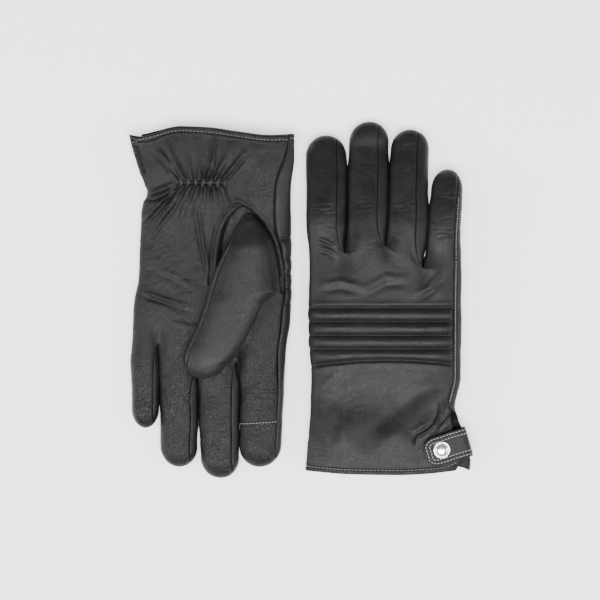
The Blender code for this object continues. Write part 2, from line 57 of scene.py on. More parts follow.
MM = 0.001
FINGERS = ("index", "middle", "ring", "pinky")
THICK = 0.6  # thickness of the leather
HAND_POWER, FINGER_POWER = 4.6, 2.7  # 2 makes the section an ellipse, more makes it squarer
ROOT_LENGTH = 24.0  # over this length past the crotch the hand's section turns into the finger's
WEB_SLOPE = 7.0  # the palm's crotches lie this much nearer the fingertips than the back's
TIP_LENGTH, TIP_POWER = 15.0, 2.2  # the rounding of a fingertip
BREAK = 122.0  # the hand's rows lie straight across up to here, then run on to the crotches
VENT_LENGTH = 46.0  # the side is open from the cuff up to here
LINING_INSET, PADDING_INSET = 3.4, 1.9
HEM_RADIUS, HEM_DEPTH = 0.7, 7.0  # the cuff's turned-in edge
HEM_STITCH = 2.6  # distance of the hem's stitches from that edge

# Seams. A seam along the back or the palm of a finger lies at a share of its half width.
INDEX_SEAM, PINKY_SEAM = 0.78, 0.66  # the hand's two side seams, where they run on along these fingers
BACK_SEAMS = (0.50, 0.45, 0.37)  # the far side of the back of the index, the middle and the ring finger
PALM_SEAM = 0.62
TOUCH_SEAM = 205.3  # y where the touch-screen tip is sewn on
ULNAR_SEAM, SIDE_SEAM = 0.67, 0.1  # angles: the side of the hand, and the sides of the fingers
SEAM_GAP = 0.012  # half the gap of a seam, an angle

THUMB_FROM, THUMB_FOLD, THUMB_TO = 59.5, 118.0, 174.0
THUMB_ROUND = 17.0
THUMB_SEAM, THUMB_GAP = 0.62, 0.02  # angles: how far the inner leather wraps round the side, and a gap

SNAP_Y = 16.1
STRAP_TURN = math.radians(16)
STRAP_HALF_WIDTH, STRAP_TIP, STRAP_FLAT, STRAP_CURL, STRAP_DROP, STRAP_RISE = 10.2, 12.2, 16.0, 4.6, 3.0, 4.7
STRAP_ROOT = 7.4  # past the hinge the strap runs on down to the palm's edge, where it is sewn on
STRAP_STITCHES = (1.6, 4.2)  # distances of the strap's two rows of stitches from its edge
ELASTIC_Y, ELASTIC_FROM, ELASTIC_TO = 37.4, -13.5, 20.5
PLEAT_PITCH = 4.9

# The stretch over which leather would bend, before and past each joint: only its ends are worked out, nothing
# is bent.
FINGER_BEND, THUMB_BEND, STRAP_BEND = (13, 11), (5, 13), (3.5, 1.5)


# --- curves and noise


def profile(*knots):
    """A smooth curve through (position, value) knots that never overshoots them, level past the ends."""
    at, value = np.array(knots, float).T
    slope = np.diff(value) / np.diff(at)
    tangent = np.zeros(len(at))
    same_way = slope[:-1] * slope[1:] > 0
    mean = 2 * slope[:-1] * slope[1:] / np.where(same_way, slope[:-1] + slope[1:], 1)
    tangent[1:-1] = np.where(same_way, mean, 0)
    tangent[0], tangent[-1] = slope[0], slope[-1]

    def curve(position):
        position = np.clip(position, at[0], at[-1])
        k = np.clip(np.searchsorted(at, position, "right") - 1, 0, len(at) - 2)
        step = at[k + 1] - at[k]
        t = (position - at[k]) / step
        start = (1 + 2 * t) * (1 - t) ** 2 * value[k] + t * (1 - t) ** 2 * step * tangent[k]
        end = t * t * (3 - 2 * t) * value[k + 1] + t * t * (t - 1) * step * tangent[k + 1]
        return start + end

    return curve


def smooth(t):
    t = np.clip(t, 0, 1)
    return t * t * (3 - 2 * t)


def bell(t):
    """1 at 0, falling away smoothly on both sides."""
    return np.exp(-(t**2))


class Noise:
    """Smooth noise from -1 to 1 over space, from a lattice of seeded random values."""

    def __init__(self, seed, size=32):
        self.size = size
        self.values = np.random.default_rng(seed).uniform(-1, 1, (size, size, size))

    def __call__(self, points, scale):
        p = points / np.asarray(scale, float) + 0.37
        cell = np.floor(p).astype(int)
        f = p - cell
        f = f * f * (3 - 2 * f)
        total = 0
        for corner in range(8):
            step = np.array([corner & 1, corner >> 1 & 1, corner >> 2])
            weight = np.prod(np.where(step, f, 1 - f), axis=-1)
            at = (cell + step) % self.size
            total = total + weight * self.values[at[..., 0], at[..., 1], at[..., 2]]
        return total


noise = Noise(7)


def near_path(x, y, path):
    """Each point's distance from a path, the same with a sign for its side, and how far along it lies."""
    path = np.array(path, float)
    lengths = np.linalg.norm(np.diff(path, axis=0), axis=1)
    nearest = np.full(x.shape, 1e9)
    side, along = np.zeros(x.shape), np.zeros(x.shape)
    for k, (a, b) in enumerate(zip(path, path[1:])):
        dx, dy = (b - a) / lengths[k]
        t = np.clip((x - a[0]) * dx + (y - a[1]) * dy, 0, lengths[k])
        away_x, away_y = x - a[0] - t * dx, y - a[1] - t * dy
        distance = np.hypot(away_x, away_y)
        closer = distance < nearest
        nearest = np.where(closer, distance, nearest)
        side = np.where(closer, np.sign(dx * away_y - dy * away_x) * distance, side)
        along = np.where(closer, (lengths[:k].sum() + t) / lengths.sum(), along)
    return nearest, side, along


def fold(x, y, path, height, width):
    """A crease in leather along a path: a ridge to its left beside a valley, fading at both ends."""
    _, side, along = near_path(x, y, path)
    fade = smooth(along * 2.6) * smooth((1 - along) * 2.6)
    s = side / width
    return height * fade * (bell((s - 0.75) * 1.3) - 0.9 * bell((s + 0.75) * 1.3))


# --- the two gloves


class Finger:
    """One finger: where its centre line crosses its fold, how that leans, its section and its tip."""

    def __init__(self, x, fold, lean, half_width, half_height, tip):
        self.x, self.fold, self.tip = x, fold, tip
        self.half_width, self.half_height = half_width, half_height
        self.slope = math.tan(math.radians(lean))

    def centre(self, y):
        return self.x + (y - self.fold) * self.slope

    def round_off(self, y):
        """What is left of the section at y: 1 along the finger, falling to 0 at its tip."""
        tip = np.clip((y - self.tip + TIP_LENGTH) / TIP_LENGTH, 0, 1)
        return np.sqrt(np.maximum(1 - tip**TIP_POWER, 0))

    def seam(self, y, share):
        """The angle of a seam at that share of the half width."""
        left = np.maximum(self.round_off(y), 1e-6)
        return np.arccos(np.clip(share / left, 0, 1) ** (FINGER_POWER / 2))

    def seam_end(self, share):
        """y where a seam at that share of the half width has nearly reached the edge."""
        left = share / math.cos(0.3) ** (2 / FINGER_POWER)
        return self.tip - TIP_LENGTH * (1 - (1 - left**2) ** (1 / TIP_POWER))

    def side_seam(self, y, angle):
        return angle * smooth((self.tip - 2 - y) / TIP_LENGTH)


class Glove:
    """One glove's shape. Along y: its two sides radial and ulnar, the thumb-side seam's angle, the flare
    of the vent's palm and back edges, and mid, the height of its middle. Across x: the back's and the
    palm's cuff. Then the crotches, the fingers, where neighbouring fingers part, the start and the pitch
    of the ribs, the thumb's shift and thickness, and the snap's place."""

    def __init__(
        self, side, radial, ulnar, seam, flare, back_flare, mid, cuffs,
        crotches, fingers, parts, ribs, thumb, snap_x,
    ):
        self.side, self.palm_up = side, side == "left"
        self.radial, self.ulnar = profile(*radial), profile(*ulnar)
        self.flare, self.back_flare, self.mid = profile(*flare), profile(*back_flare), profile(*mid)
        self.seam, self.parts = profile(*seam), parts
        self.cuffs = [profile(*cuff) for cuff in cuffs]
        self.half = profile((0, 5.4), (20, 6.2), (45, 7.2), (90, 8.0), (150, 8.1), (240, 7.8))
        self.crotches, self.fingers, self.ribs, self.snap_x = crotches, fingers, ribs, snap_x
        self.thumb_shift, self.thumb_height = thumb
        self.turn = -1 if self.palm_up else 1
        index = self.fingers[0]
        joint = next(j for j in frame["joints"] if j["name"] == side + "_index_fold")
        at = np.array(joint["pos_m"]) / MM
        self.place = np.array([at[0] - self.turn * index.x, at[1] - self.turn * index.fold, 0])

    def name(self, piece):
        return f"{self.side}_{piece}"

    def world(self, points):
        return (self.place + self.turn * np.asarray(points, float)) * MM

    def lay(self, points):
        """Nothing reaches below the table: what would is flattened softly onto it."""
        up = points[..., 2] * self.turn
        up = np.where(up < 0.6, 0.6 * np.exp(np.minimum(up - 0.6, 0) / 0.6), up)
        points[..., 2] = up * self.turn
        return points

    def valley(self, x, y, palm):
        """How far the leather sinks between two fingers, as a share of the hand's height."""
        depth = 0
        length, width, most = (24.0, 6.5, 0.5) if palm else (17.0, 5.5, 0.2)
        for cx, cy in self.crotches:
            near = smooth((y - cy - (WEB_SLOPE if palm else 0) + length) / length)
            depth = depth + most * near * bell((x - cx) / (width * (1.5 - 0.75 * near)))
        return np.clip(depth, 0, 0.7)

    def hand(self, y, angle, inset=0.0):
        """Points of the hand's surface, or of one that far inside it."""
        left, right = self.radial(y), self.ulnar(y)
        centre, half_width = (left + right) / 2, (right - left) / 2 - inset
        across, up = np.cos(angle), np.sin(angle)
        x = centre + half_width * np.sign(across) * np.abs(across) ** (2 / HAND_POWER)
        sink = np.where(up > 0, self.valley(x, y, False), self.valley(x, y, True))
        return np.stack([x, y + 0 * x, self.mid(y) + (self.half(y) * (1 - sink) - inset) * up], -1)

    def hand_angle(self, x, y):
        """The angle at which the hand's surface has that x."""
        left, right = self.radial(y), self.ulnar(y)
        across = (x - (left + right) / 2) / ((right - left) / 2)
        return math.acos(math.copysign(abs(across) ** (HAND_POWER / 2), across))

    def reach(self, k, y):
        """How far the sides between fingers k and k + 1 swell at y, until they touch."""
        a, b = self.fingers[k], self.fingers[k + 1]
        between = b.centre(y) - b.half_width * b.round_off(y) - a.centre(y) - a.half_width * a.round_off(y)
        press = 0.15 + 0.55 * smooth((186 - y) / 16)
        return np.clip(between / 2 + press, -0.4, 2.6) * smooth((self.parts[k] - y) / 11)

    def finger(self, k, y, angle):
        f = self.fingers[k]
        across, up = np.cos(angle), np.sin(angle)
        half_width, half_height = f.half_width * f.round_off(y), f.half_height * f.round_off(y)
        near = self.reach(k - 1, y) if k > 0 else 0
        far = self.reach(k, y) if k < 3 else 0
        shape = np.sign(across) * np.abs(across) ** (2 / FINGER_POWER)
        x = f.centre(y) + (far - near) / 2 + (half_width + (far + near) / 2) * shape
        return np.stack([x, y + 0 * x, self.mid(y) + half_height * up], -1)

    def finger_edges(self, k, y, palm):
        """The angles where the palm or the back of finger k begins and ends, from the thumb's side."""
        f = self.fingers[k]
        if palm:
            thumb_side = f.seam(y, INDEX_SEAM) if k == 0 else f.seam(y, PALM_SEAM)
            far_side = f.seam(y, PINKY_SEAM) if k == 3 else -f.side_seam(y, SIDE_SEAM)
            return -math.pi + thumb_side + SEAM_GAP, far_side - SEAM_GAP
        thumb_side = f.seam(y, INDEX_SEAM) if k == 0 else -f.side_seam(y, SIDE_SEAM)
        far_side = f.seam(y, PINKY_SEAM if k == 3 else BACK_SEAMS[k])
        return math.pi + thumb_side - SEAM_GAP, far_side + SEAM_GAP

    def side_edges(self, k, y, far):
        """The same for the strip down the near or the far side of finger k."""
        f = self.fingers[k]
        if far:
            return -f.side_seam(y, SIDE_SEAM) + SEAM_GAP, f.seam(y, BACK_SEAMS[k]) - SEAM_GAP
        return math.pi + f.seam(y, PALM_SEAM) - SEAM_GAP, math.pi - f.side_seam(y, SIDE_SEAM) + SEAM_GAP

    def palm_level(self, y):
        return self.mid(y) - self.half(y)

    def snap_level(self):
        """The height of the back under the snap."""
        return float(self.mid(SNAP_Y) + self.half(SNAP_Y)) + 1.2


RIGHT = Glove(
    "right",
    radial=[(0, -54), (25, -52.3), (60, -50), (112, -52), (150, -51.8), (200, -54)],
    ulnar=[(0, 52), (25, 50.5), (46, 50), (67, 54), (110, 54.2), (200, 55.8)],
    seam=[(0, 0.74), (150, 0.74)],
    flare=[(0, 10), (12, 11), (28, 7), (46, 0)],
    back_flare=[(0, 4.5), (6, 7.5), (12, 7.0), (30, 4.0), (44, 1.2), (52, 0)],
    mid=[(0, 5.6), (20, 8.2), (62, 19.6), (168, 19.4), (228, 7.7)],
    cuffs=[[(-54, 1.5), (-25, -0.8), (10, -1.4), (34, -0.4), (46, 1.5), (52, 4.5)]] * 2,
    crotches=[(-26.6, 152.6), (1.8, 157.2), (27.5, 142.1)],
    fingers=[
        Finger(-39.8, 184, 0.5, 14.1, 7.8, 236),
        Finger(-10.8, 189, 1.6, 14.0, 7.8, 245.7),
        Finger(17.7, 186, 1.9, 13.5, 7.8, 240),
        Finger(42.7, 168, 3.6, 11.0, 7.2, 212),
    ],
    parts=(223, 225.6, 195.4),
    ribs=(77.2, 9.45),
    thumb=(4.5, 10.2),
    snap_x=40.8,
)
LEFT = Glove(
    "left",
    radial=[(0, -61), (21, -60.4), (42, -58), (110, -58.6), (130, -58), (155, -55.3), (200, -53)],
    ulnar=[
        (0, 49), (25, 45.6), (38, 43.5), (44.5, 41.9), (50.3, 45.4),
        (60, 47.2), (100, 48.3), (122, 51.8), (164, 54), (200, 54.4),
    ],
    seam=[
        (0, 0.55), (10, 0.60), (33, 0.90), (47, 0.95), (68, 0.94),
        (79, 0.82), (98, 0.62), (117, 0.61), (126, 0.68), (145, 0.69),
    ],
    flare=[(0, 7), (10, 6.5), (28, 3.5), (46, 0)],
    back_flare=[(0, 3), (10, 3.5), (28, 2.0), (46, 0)],
    mid=[(0, -13.9), (16, -14.4), (45, -12.4), (80, -8.0), (165, -7.9), (240, -7.7)],
    cuffs=[
        [(-61, 3.4), (-43, 3.8), (-22, 1.4), (0, -1.6), (19, -2.4), (34, 0.6), (50, 6.0)],
        [(-61, 4.4), (-43, 5.0), (-22, 2.5), (0, -0.5), (19, -1.6), (38, 2.4), (55, 6.9)],
    ],
    crotches=[(-19.5, 155), (6.8, 159), (34.3, 141.6)],
    fingers=[
        Finger(-38.6, 184, 2.4, 14.4, 7.8, 235.9),
        Finger(-7.4, 187, -1.6, 13.5, 7.8, 243.6),
        Finger(20.7, 184, -0.7, 13.0, 7.8, 235.9),
        Finger(44.8, 166, -1.6, 9.7, 7.2, 208.6),
    ],
    parts=(227.4, 216.9, 198.7),
    ribs=(79.2, 10.3),
    thumb=(0.0, 11.8),
    snap_x=30.5,
)


# --- grids of points

CROTCH_ROWS, FINGER_ROWS, TIP_ROWS = 32, 92, 26  # rows from BREAK to the crotches, and on each finger


def cluster(count, strength=1.5):
    """Places from 0 to 1, closer together near both ends."""
    return 0.5 + 0.5 * np.tanh(strength * np.linspace(-1, 1, count)) / math.tanh(strength)


def levels(start, end, coarse, low, high, fine):
    """Stations from start to end, coarse apart, and fine apart from low to high."""
    at = [start]
    while at[-1] < end:
        at.append(at[-1] + (fine if low <= at[-1] <= high else coarse))
    return np.array(at) * end / at[-1]


def crotch(glove, k, palm):
    """The crotch between fingers k and k + 1, on the back or on the palm."""
    x, y = glove.crotches[k]
    return x, y + (WEB_SLOPE if palm else 0)


def strip_shape(glove, k, palm, count):
    """The places and the angles of strip k's columns, its crotch row's y, and its first angle."""
    before, after = crotch(glove, max(k - 1, 0), palm), crotch(glove, min(k, 2), palm)
    edges = [glove.hand_angle(*before), glove.hand_angle(*after)]
    if k == 0:
        edges[0] = math.pi
    if k == 3:
        edges[1] = 0.0
    if palm:
        edges = [-edges[0], -edges[1]]
    gap = SEAM_GAP if palm else -SEAM_GAP
    if k == 0:
        edges[0] += float(glove.seam(before[1])) + gap
    if k == 3:
        edges[1] += ULNAR_SEAM - gap
    share = cluster(count)
    angle = edges[0] + (edges[1] - edges[0]) * share
    if k in (1, 2):  # between two crotches the columns are spread evenly over the width, not over the angle
        steps = [np.array(before) + (np.array(after) - before) * s for s in share]
        angle = np.array([glove.hand_angle(*step) for step in steps]) * (-1 if palm else 1)
    return share, angle, before[1] + (after[1] - before[1]) * share, edges[0]


def strip_grid(glove, k, palm, count, at):
    """Strip k of the back or of the palm from the cuff to its crotch row, and the finger beyond it."""
    share, angle, crotch_y, first = strip_shape(glove, k, palm, count)
    cuff = glove.cuffs[palm](glove.hand(0.0, angle)[..., 0])
    low = cuff + (BREAK - cuff) * (at / BREAK)[:, None]
    run = 1 - (1 - np.linspace(0, 1, CROTCH_ROWS)[1:, None]) ** 1.35
    y = np.concatenate([low, BREAK + (crotch_y - BREAK) * run])
    turned = angle + 0 * y
    if palm and k == 3:  # up to the vent's end the palm reaches further round the side
        shut = first + (-0.25 - first) * share
        turned = angle + (shut - angle) * smooth((VENT_LENGTH - y) / 9)
    if k == 0:
        turned = turned + (glove.seam(y) - glove.seam(crotch_y)) * (1 - share) ** 1.5
    hand = glove.hand(y, turned)
    if k == 3:
        hand[..., 0] += (glove.flare if palm else glove.back_flare)(y) * share**3
    finger = root_points(glove, k, lambda y: glove.hand(y, angle), crotch_y, share, glove.finger_edges, palm)
    return np.concatenate([hand, finger[1:]]), len(y)


def root_points(glove, k, from_hand, crotch_y, share, edges, kind, end=None):
    """Points from the crotch to the fingertip: the hand's section turns into the finger's. edges(k, y,
    kind) gives the strip's two angles on the finger."""
    f = glove.fingers[k]
    round_y = f.tip - TIP_LENGTH
    straight_end = round_y if end is None else end
    y = crotch_y + (straight_end - crotch_y) * np.linspace(0, 1, FINGER_ROWS)[:, None] ** 1.2
    if end is None:
        tip = np.sin(np.linspace(0, 1, TIP_ROWS)[1:, None] * math.pi / 2) ** 0.9 * 0.9995
        y = np.concatenate([y, round_y + TIP_LENGTH * tip + 0 * crotch_y])
    low, high = edges(k, y, kind)
    own = glove.finger(k, y, low + (high - low) * share)
    t = np.clip((y - crotch_y) / ROOT_LENGTH, 0, 1)
    start = from_hand(y)
    beside = 0
    for cx, _ in glove.crotches[max(k - 1, 0) : k + 1]:
        beside = beside + bell((start[..., 0] - cx) / 7)
    beside = np.clip(beside, 0, 1)
    mix = smooth(t) + (np.sin(math.pi / 2 * t) ** 0.75 - smooth(t)) * beside
    return start + (own - start) * mix[..., None]


def side_grid(glove, k, far, count):
    """The strip between a finger's palm and its back, on its near or its far side."""
    share = cluster(count, 1.0)
    side = k if far else k - 1
    low, high = crotch(glove, side, True), crotch(glove, side, False)

    def from_hand(y):
        palm, back = glove.hand(y, -glove.hand_angle(*low)), glove.hand(y, glove.hand_angle(*high))
        return palm + (back - palm) * (0.04 + 0.92 * share)[:, None]

    crotch_y = low[1] + (high[1] - low[1]) * share
    end = glove.fingers[k].seam_end(BACK_SEAMS[k] if far else PALM_SEAM)
    return root_points(glove, k, from_hand, crotch_y, share, glove.side_edges, far, end)


def normals_of(grid, ring=False):
    """Unit normals of a grid, by the right-hand rule from its columns to its rows."""
    across = np.roll(grid, -1, 1) - np.roll(grid, 1, 1) if ring else np.gradient(grid, axis=1)
    normal = np.cross(across, np.gradient(grid, axis=0))
    length = np.linalg.norm(normal, axis=-1, keepdims=True)
    return normal / np.maximum(length, 1e-12)


def edge_distance(grid, axis=1):
    """Distance from each point to the two ends of its row, or of its column, along the surface."""
    step = np.linalg.norm(np.diff(grid, axis=axis), axis=-1)
    run = np.concatenate([np.zeros_like(np.take(step, [0], axis)), np.cumsum(step, axis)], axis)
    return run, np.take(run, [-1], axis) - run


def read_off(place, run, values):
    """The rows of values at a place, or at many, along a run."""
    return np.stack([np.interp(place, run, values[:, i]) for i in range(3)], -1)


def seam_dip(distance, depth=0.7, width=1.7):
    """How far leather rolls down into a seam at that distance from it."""
    return depth * np.clip(1 - distance / width, 0, 1) ** 2.2


# --- meshes


def mesh_object(name, points, faces, finish):
    mesh = bpy.data.meshes.new(name)
    mesh.vertices.add(len(points))
    mesh.vertices.foreach_set("co", points.astype(np.float32).ravel())
    mesh.loops.add(faces.size)
    mesh.loops.foreach_set("vertex_index", faces.astype(np.int32).ravel())
    mesh.polygons.add(len(faces))
    mesh.polygons.foreach_set("loop_start", np.arange(0, faces.size, faces.shape[1], dtype=np.int32))
    mesh.update(calc_edges=True)
    mesh.polygons.foreach_set("use_smooth", np.ones(len(faces), bool))
    mesh.materials.append(finish)
    obj = bpy.data.objects.new(name, mesh)
    bpy.context.scene.collection.objects.link(obj)
    return obj


def mark_sharp(mesh, pairs):
    """Makes those edges sharp."""
    size = len(mesh.vertices)
    edges = np.empty(len(mesh.edges) * 2, np.int32)
    mesh.edges.foreach_get("vertices", edges)
    edges = np.sort(edges.reshape(-1, 2), 1).astype(np.int64)
    pairs = np.sort(pairs, 1).astype(np.int64)
    sharp = np.isin(edges[:, 0] * size + edges[:, 1], pairs[:, 0] * size + pairs[:, 1])
    attribute = mesh.attributes.get("sharp_edge") or mesh.attributes.new("sharp_edge", "BOOLEAN", "EDGE")
    attribute.data.foreach_set("value", sharp)


def add(glove, name, points, faces, finish, body, replaced=()):
    """One piece of a glove, from points in the glove's frame. A body of None leaves it unattached."""
    faces = faces[:, ::-1] if glove.turn < 0 else faces
    obj = mesh_object(glove.name(name), glove.world(points), faces, finish)
    if replaced:
        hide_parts(*[glove.name(node) for node in replaced])
    if body:
        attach(obj, glove.name(body))
    return obj


def grid_faces(index, ring):
    """The quads of a grid of point numbers, whose rows close on themselves in a ring, and those rows."""
    wide = np.concatenate([index, index[:, :1]], 1) if ring else index
    return np.stack([wide[:-1, :-1], wide[:-1, 1:], wide[1:, 1:], wide[1:, :-1]], -1).reshape(-1, 4), wide


def sheet(glove, name, grid, finish, body, replaced=(), thickness=THICK, ring=False, flip=False):
    """A closed sheet of leather or cloth from a grid of its outer surface."""
    if flip:
        grid = grid[:, ::-1]
    inner = grid - normals_of(grid, ring) * thickness
    points = np.concatenate([grid.reshape(-1, 3), inner.reshape(-1, 3)])
    rows, columns = grid.shape[:2]
    count = rows * columns
    index = np.arange(count).reshape(rows, columns)
    quads, wide = grid_faces(index, ring)
    loops = [wide[0], wide[-1][::-1]]
    if not ring:
        loops += [index[::-1, 0], index[:, -1]]
    rims = [np.stack([loop[1:], loop[:-1], loop[:-1] + count, loop[1:] + count], -1) for loop in loops]
    faces = np.concatenate([quads, quads[:, ::-1] + count] + rims)
    obj = add(glove, name, points, faces, finish, body, replaced)
    rim = np.concatenate([np.stack([loop[1:], loop[:-1]], -1) for loop in loops])
    mark_sharp(obj.data, np.concatenate([rim, rim + count]))
    return obj


STITCH_SIDES = 6
STITCH_RINGS = (  # each ring's place along the stitch, its size and its rise
    (-0.5, 0.25, -0.9), (-0.42, 0.75, -0.3), (-0.15, 1.0, 0.3),
    (0.15, 1.0, 0.3), (0.42, 0.75, -0.3), (0.5, 0.25, -0.9),
)


def stitch_faces():
    """The faces of one stitch: a band between each two rings, and two faces over each end."""
    n = STITCH_SIDES
    last = n * (len(STITCH_RINGS) - 1)
    pairs = [(c, (c + 1) % n) for c in range(n)]
    bands = [(r + c, r + n + c, r + n + d, r + d) for r in range(0, last, n) for c, d in pairs]
    first_end = [(0, 1, 2, 3), (0, 3, 4, 5)]
    last_end = [(last + 3, last + 2, last + 1, last), (last + 5, last + 4, last + 3, last)]
    return np.array(bands + first_end + last_end)


def stitches(glove, name, lines, finish, body, length=2.0, gap=0.8, radius=0.24):
    """Rows of stitches along lines, each a pair of arrays: the points and the leather's normals there."""
    points, faces = [], []
    around = np.arange(STITCH_SIDES) * math.pi / 3
    cross_x, cross_z = np.cos(around), np.sin(around)
    one = stitch_faces()
    for path, up in lines:
        run = np.concatenate([[0], np.cumsum(np.linalg.norm(np.diff(path, axis=0), axis=1))])
        middles = np.arange((length + gap) / 2, run[-1] - length / 2, length + gap)
        centre, normal = read_off(middles, run, path), read_off(middles, run, up)
        along = read_off(middles + length * 0.4, run, path) - read_off(middles - length * 0.4, run, path)
        along /= np.linalg.norm(along, axis=1, keepdims=True)
        normal -= along * np.sum(normal * along, axis=1, keepdims=True)
        normal /= np.maximum(np.linalg.norm(normal, axis=1, keepdims=True), 1e-9)
        side = np.cross(along, normal)
        rings = []
        for place, size, rise in STITCH_RINGS:
            middle = centre + along * place * length + normal * (rise * radius)
            ring = middle[:, None] + side[:, None] * (cross_x * size * radius)[:, None]
            rings.append(ring + normal[:, None] * (cross_z * size * radius)[:, None])
        first = sum(len(block) for block in points) + np.arange(len(middles)) * len(rings) * STITCH_SIDES
        faces.append((one + first[:, None, None]).reshape(-1, 4))
        points.append(np.stack(rings, 1).reshape(-1, 3))
    return add(glove, name, np.concatenate(points), np.concatenate(faces), finish, body)


def beside_edge(grid, normal, distance, rows):
    """The line that runs that far from the end of each of those rows of a grid."""
    path, up = [], []
    for g, n, run in zip(grid[rows], normal[rows], edge_distance(grid)[1][rows]):
        path.append(read_off(distance, run[::-1], g[::-1]))
        up.append(read_off(distance, run[::-1], n[::-1]))
    return np.array(path), np.array(up)


def across_grid(grid, normal, level, margin=2):
    """The line across the columns of a grid where y is level(x)."""
    path, up = [], []
    rows = np.arange(len(grid))
    for c in range(margin, grid.shape[1] - margin):
        row = np.interp(0, grid[:, c, 1] - level(grid[:, c, 0]), rows)
        path.append(read_off(row, rows, grid[:, c]))
        up.append(read_off(row, rows, normal[:, c]))
    return np.array(path), np.array(up)


# --- materials


class Nodes:
    """Builds one material's node tree."""

    def __init__(self, name, colour, roughness, metallic=0.0):
        self.material = bpy.data.materials.new(name)
        self.material.use_nodes = True
        self.tree = self.material.node_tree
        self.shader = self.tree.nodes["Principled BSDF"]
        self.shader.inputs["Base Color"].default_value = (*colour, 1)
        self.shader.inputs["Roughness"].default_value = roughness
        self.shader.inputs["Metallic"].default_value = metallic
        self.place = self.tree.nodes.new("ShaderNodeTexCoord").outputs["Object"]

    def add(self, kind, **values):
        node = self.tree.nodes.new(kind)
        for key, value in values.items():
            setattr(node, key, value)
        return node

    def texture(self, kind, scale, **inputs):
        node = self.add(kind)
        self.tree.links.new(self.place, node.inputs["Vector"])
        node.inputs["Scale"].default_value = scale
        for key, value in inputs.items():
            node.inputs[key].default_value = value
        return node

    def ramp(self, source, low, high, start=0.0, end=1.0):
        node = self.add("ShaderNodeMapRange")
        self.tree.links.new(source, node.inputs["Value"])
        node.inputs["From Min"].default_value, node.inputs["From Max"].default_value = low, high
        node.inputs["To Min"].default_value, node.inputs["To Max"].default_value = start, end
        return node.outputs["Result"]

    def maths(self, how, a, b):
        node = self.add("ShaderNodeMath", operation=how)
        for socket, value in zip(node.inputs, (a, b)):
            if isinstance(value, (int, float)):
                socket.default_value = value
            else:
                self.tree.links.new(value, socket)
        return node.outputs["Value"]

    def bump(self, height, distance):
        node = self.add("ShaderNodeBump")
        node.inputs["Distance"].default_value = distance
        self.tree.links.new(height, node.inputs["Height"])
        previous = self.shader.inputs["Normal"].links
        if previous:
            self.tree.links.new(previous[0].from_socket, node.inputs["Normal"])
        self.tree.links.new(node.outputs["Normal"], self.shader.inputs["Normal"])

    def tint(self, colour, amount):
        """Sets the colour, scaled by amount."""
        node = self.add("ShaderNodeVectorMath", operation="SCALE")
        node.inputs[0].default_value = colour
        self.tree.links.new(amount, node.inputs["Scale"])
        self.tree.links.new(node.outputs["Vector"], self.shader.inputs["Base Color"])


def leather(name, colour, roughness, grain, depth, wrinkle, specular):
    """Dyed leather: a pebbled grain, finer pores, short wrinkles, slow changes of tone and of gloss."""
    made = Nodes(name, colour, roughness)
    cells = made.texture("ShaderNodeTexVoronoi", grain)
    cells.feature = "DISTANCE_TO_EDGE"
    pebble = made.ramp(cells.outputs["Distance"], 0.0, 0.3)
    pores = made.texture("ShaderNodeTexNoise", grain * 2.7, Detail=4.0, Roughness=0.6)
    short = made.texture("ShaderNodeTexNoise", 240.0, Detail=5.0, Roughness=0.6, Distortion=1.1)
    slow = made.texture("ShaderNodeTexNoise", 42.0, Detail=4.0, Roughness=0.6)
    made.bump(pores.outputs["Fac"], depth * 0.6)
    made.bump(pebble, depth)
    made.bump(short.outputs["Fac"], wrinkle)
    patches, pits = made.ramp(slow.outputs["Fac"], 0.3, 0.7, 0.7, 1.35), made.ramp(pebble, 0, 1, 0.6, 1.1)
    made.tint(colour, made.maths("MULTIPLY", patches, pits))
    gloss = made.maths("ADD", made.ramp(slow.outputs["Fac"], 0.3, 0.7, -0.06, 0.07), roughness)
    gloss = made.maths("ADD", made.ramp(short.outputs["Fac"], 0.3, 0.7, -0.05, 0.05), gloss)
    made.tree.links.new(gloss, made.shader.inputs["Roughness"])
    made.shader.inputs["Specular IOR Level"].default_value = specular
    return made.material


def cloth(name, colour, scale, depth, sheen=0.2):
    """Knitted or spun yarn: fine waves broken up by fuzz."""
    made = Nodes(name, colour, 0.9)
    waves = made.texture("ShaderNodeTexWave", scale, Distortion=1.2, Detail=2.0)
    fuzz = made.texture("ShaderNodeTexNoise", scale * 2.2, Detail=5.0)
    made.bump(fuzz.outputs["Fac"], depth)
    made.bump(waves.outputs["Fac"], depth)
    made.tint(colour, made.ramp(fuzz.outputs["Fac"], 0.3, 0.7, 0.6, 1.4))
    made.shader.inputs["Sheen Weight"].default_value = sheen
    return made.material


def metal(name, colour, roughness):
    """Plated metal with a faint haze of fine scratches."""
    made = Nodes(name, colour, roughness, 1.0)
    scratches = made.texture("ShaderNodeTexNoise", 1400.0, Detail=3.0)
    haze = made.texture("ShaderNodeTexNoise", 300.0, Detail=2.0)
    made.bump(scratches.outputs["Fac"], 0.000006)
    gloss = made.ramp(haze.outputs["Fac"], 0.3, 0.7, roughness * 0.7, roughness * 1.4)
    made.tree.links.new(gloss, made.shader.inputs["Roughness"])
    return made.material


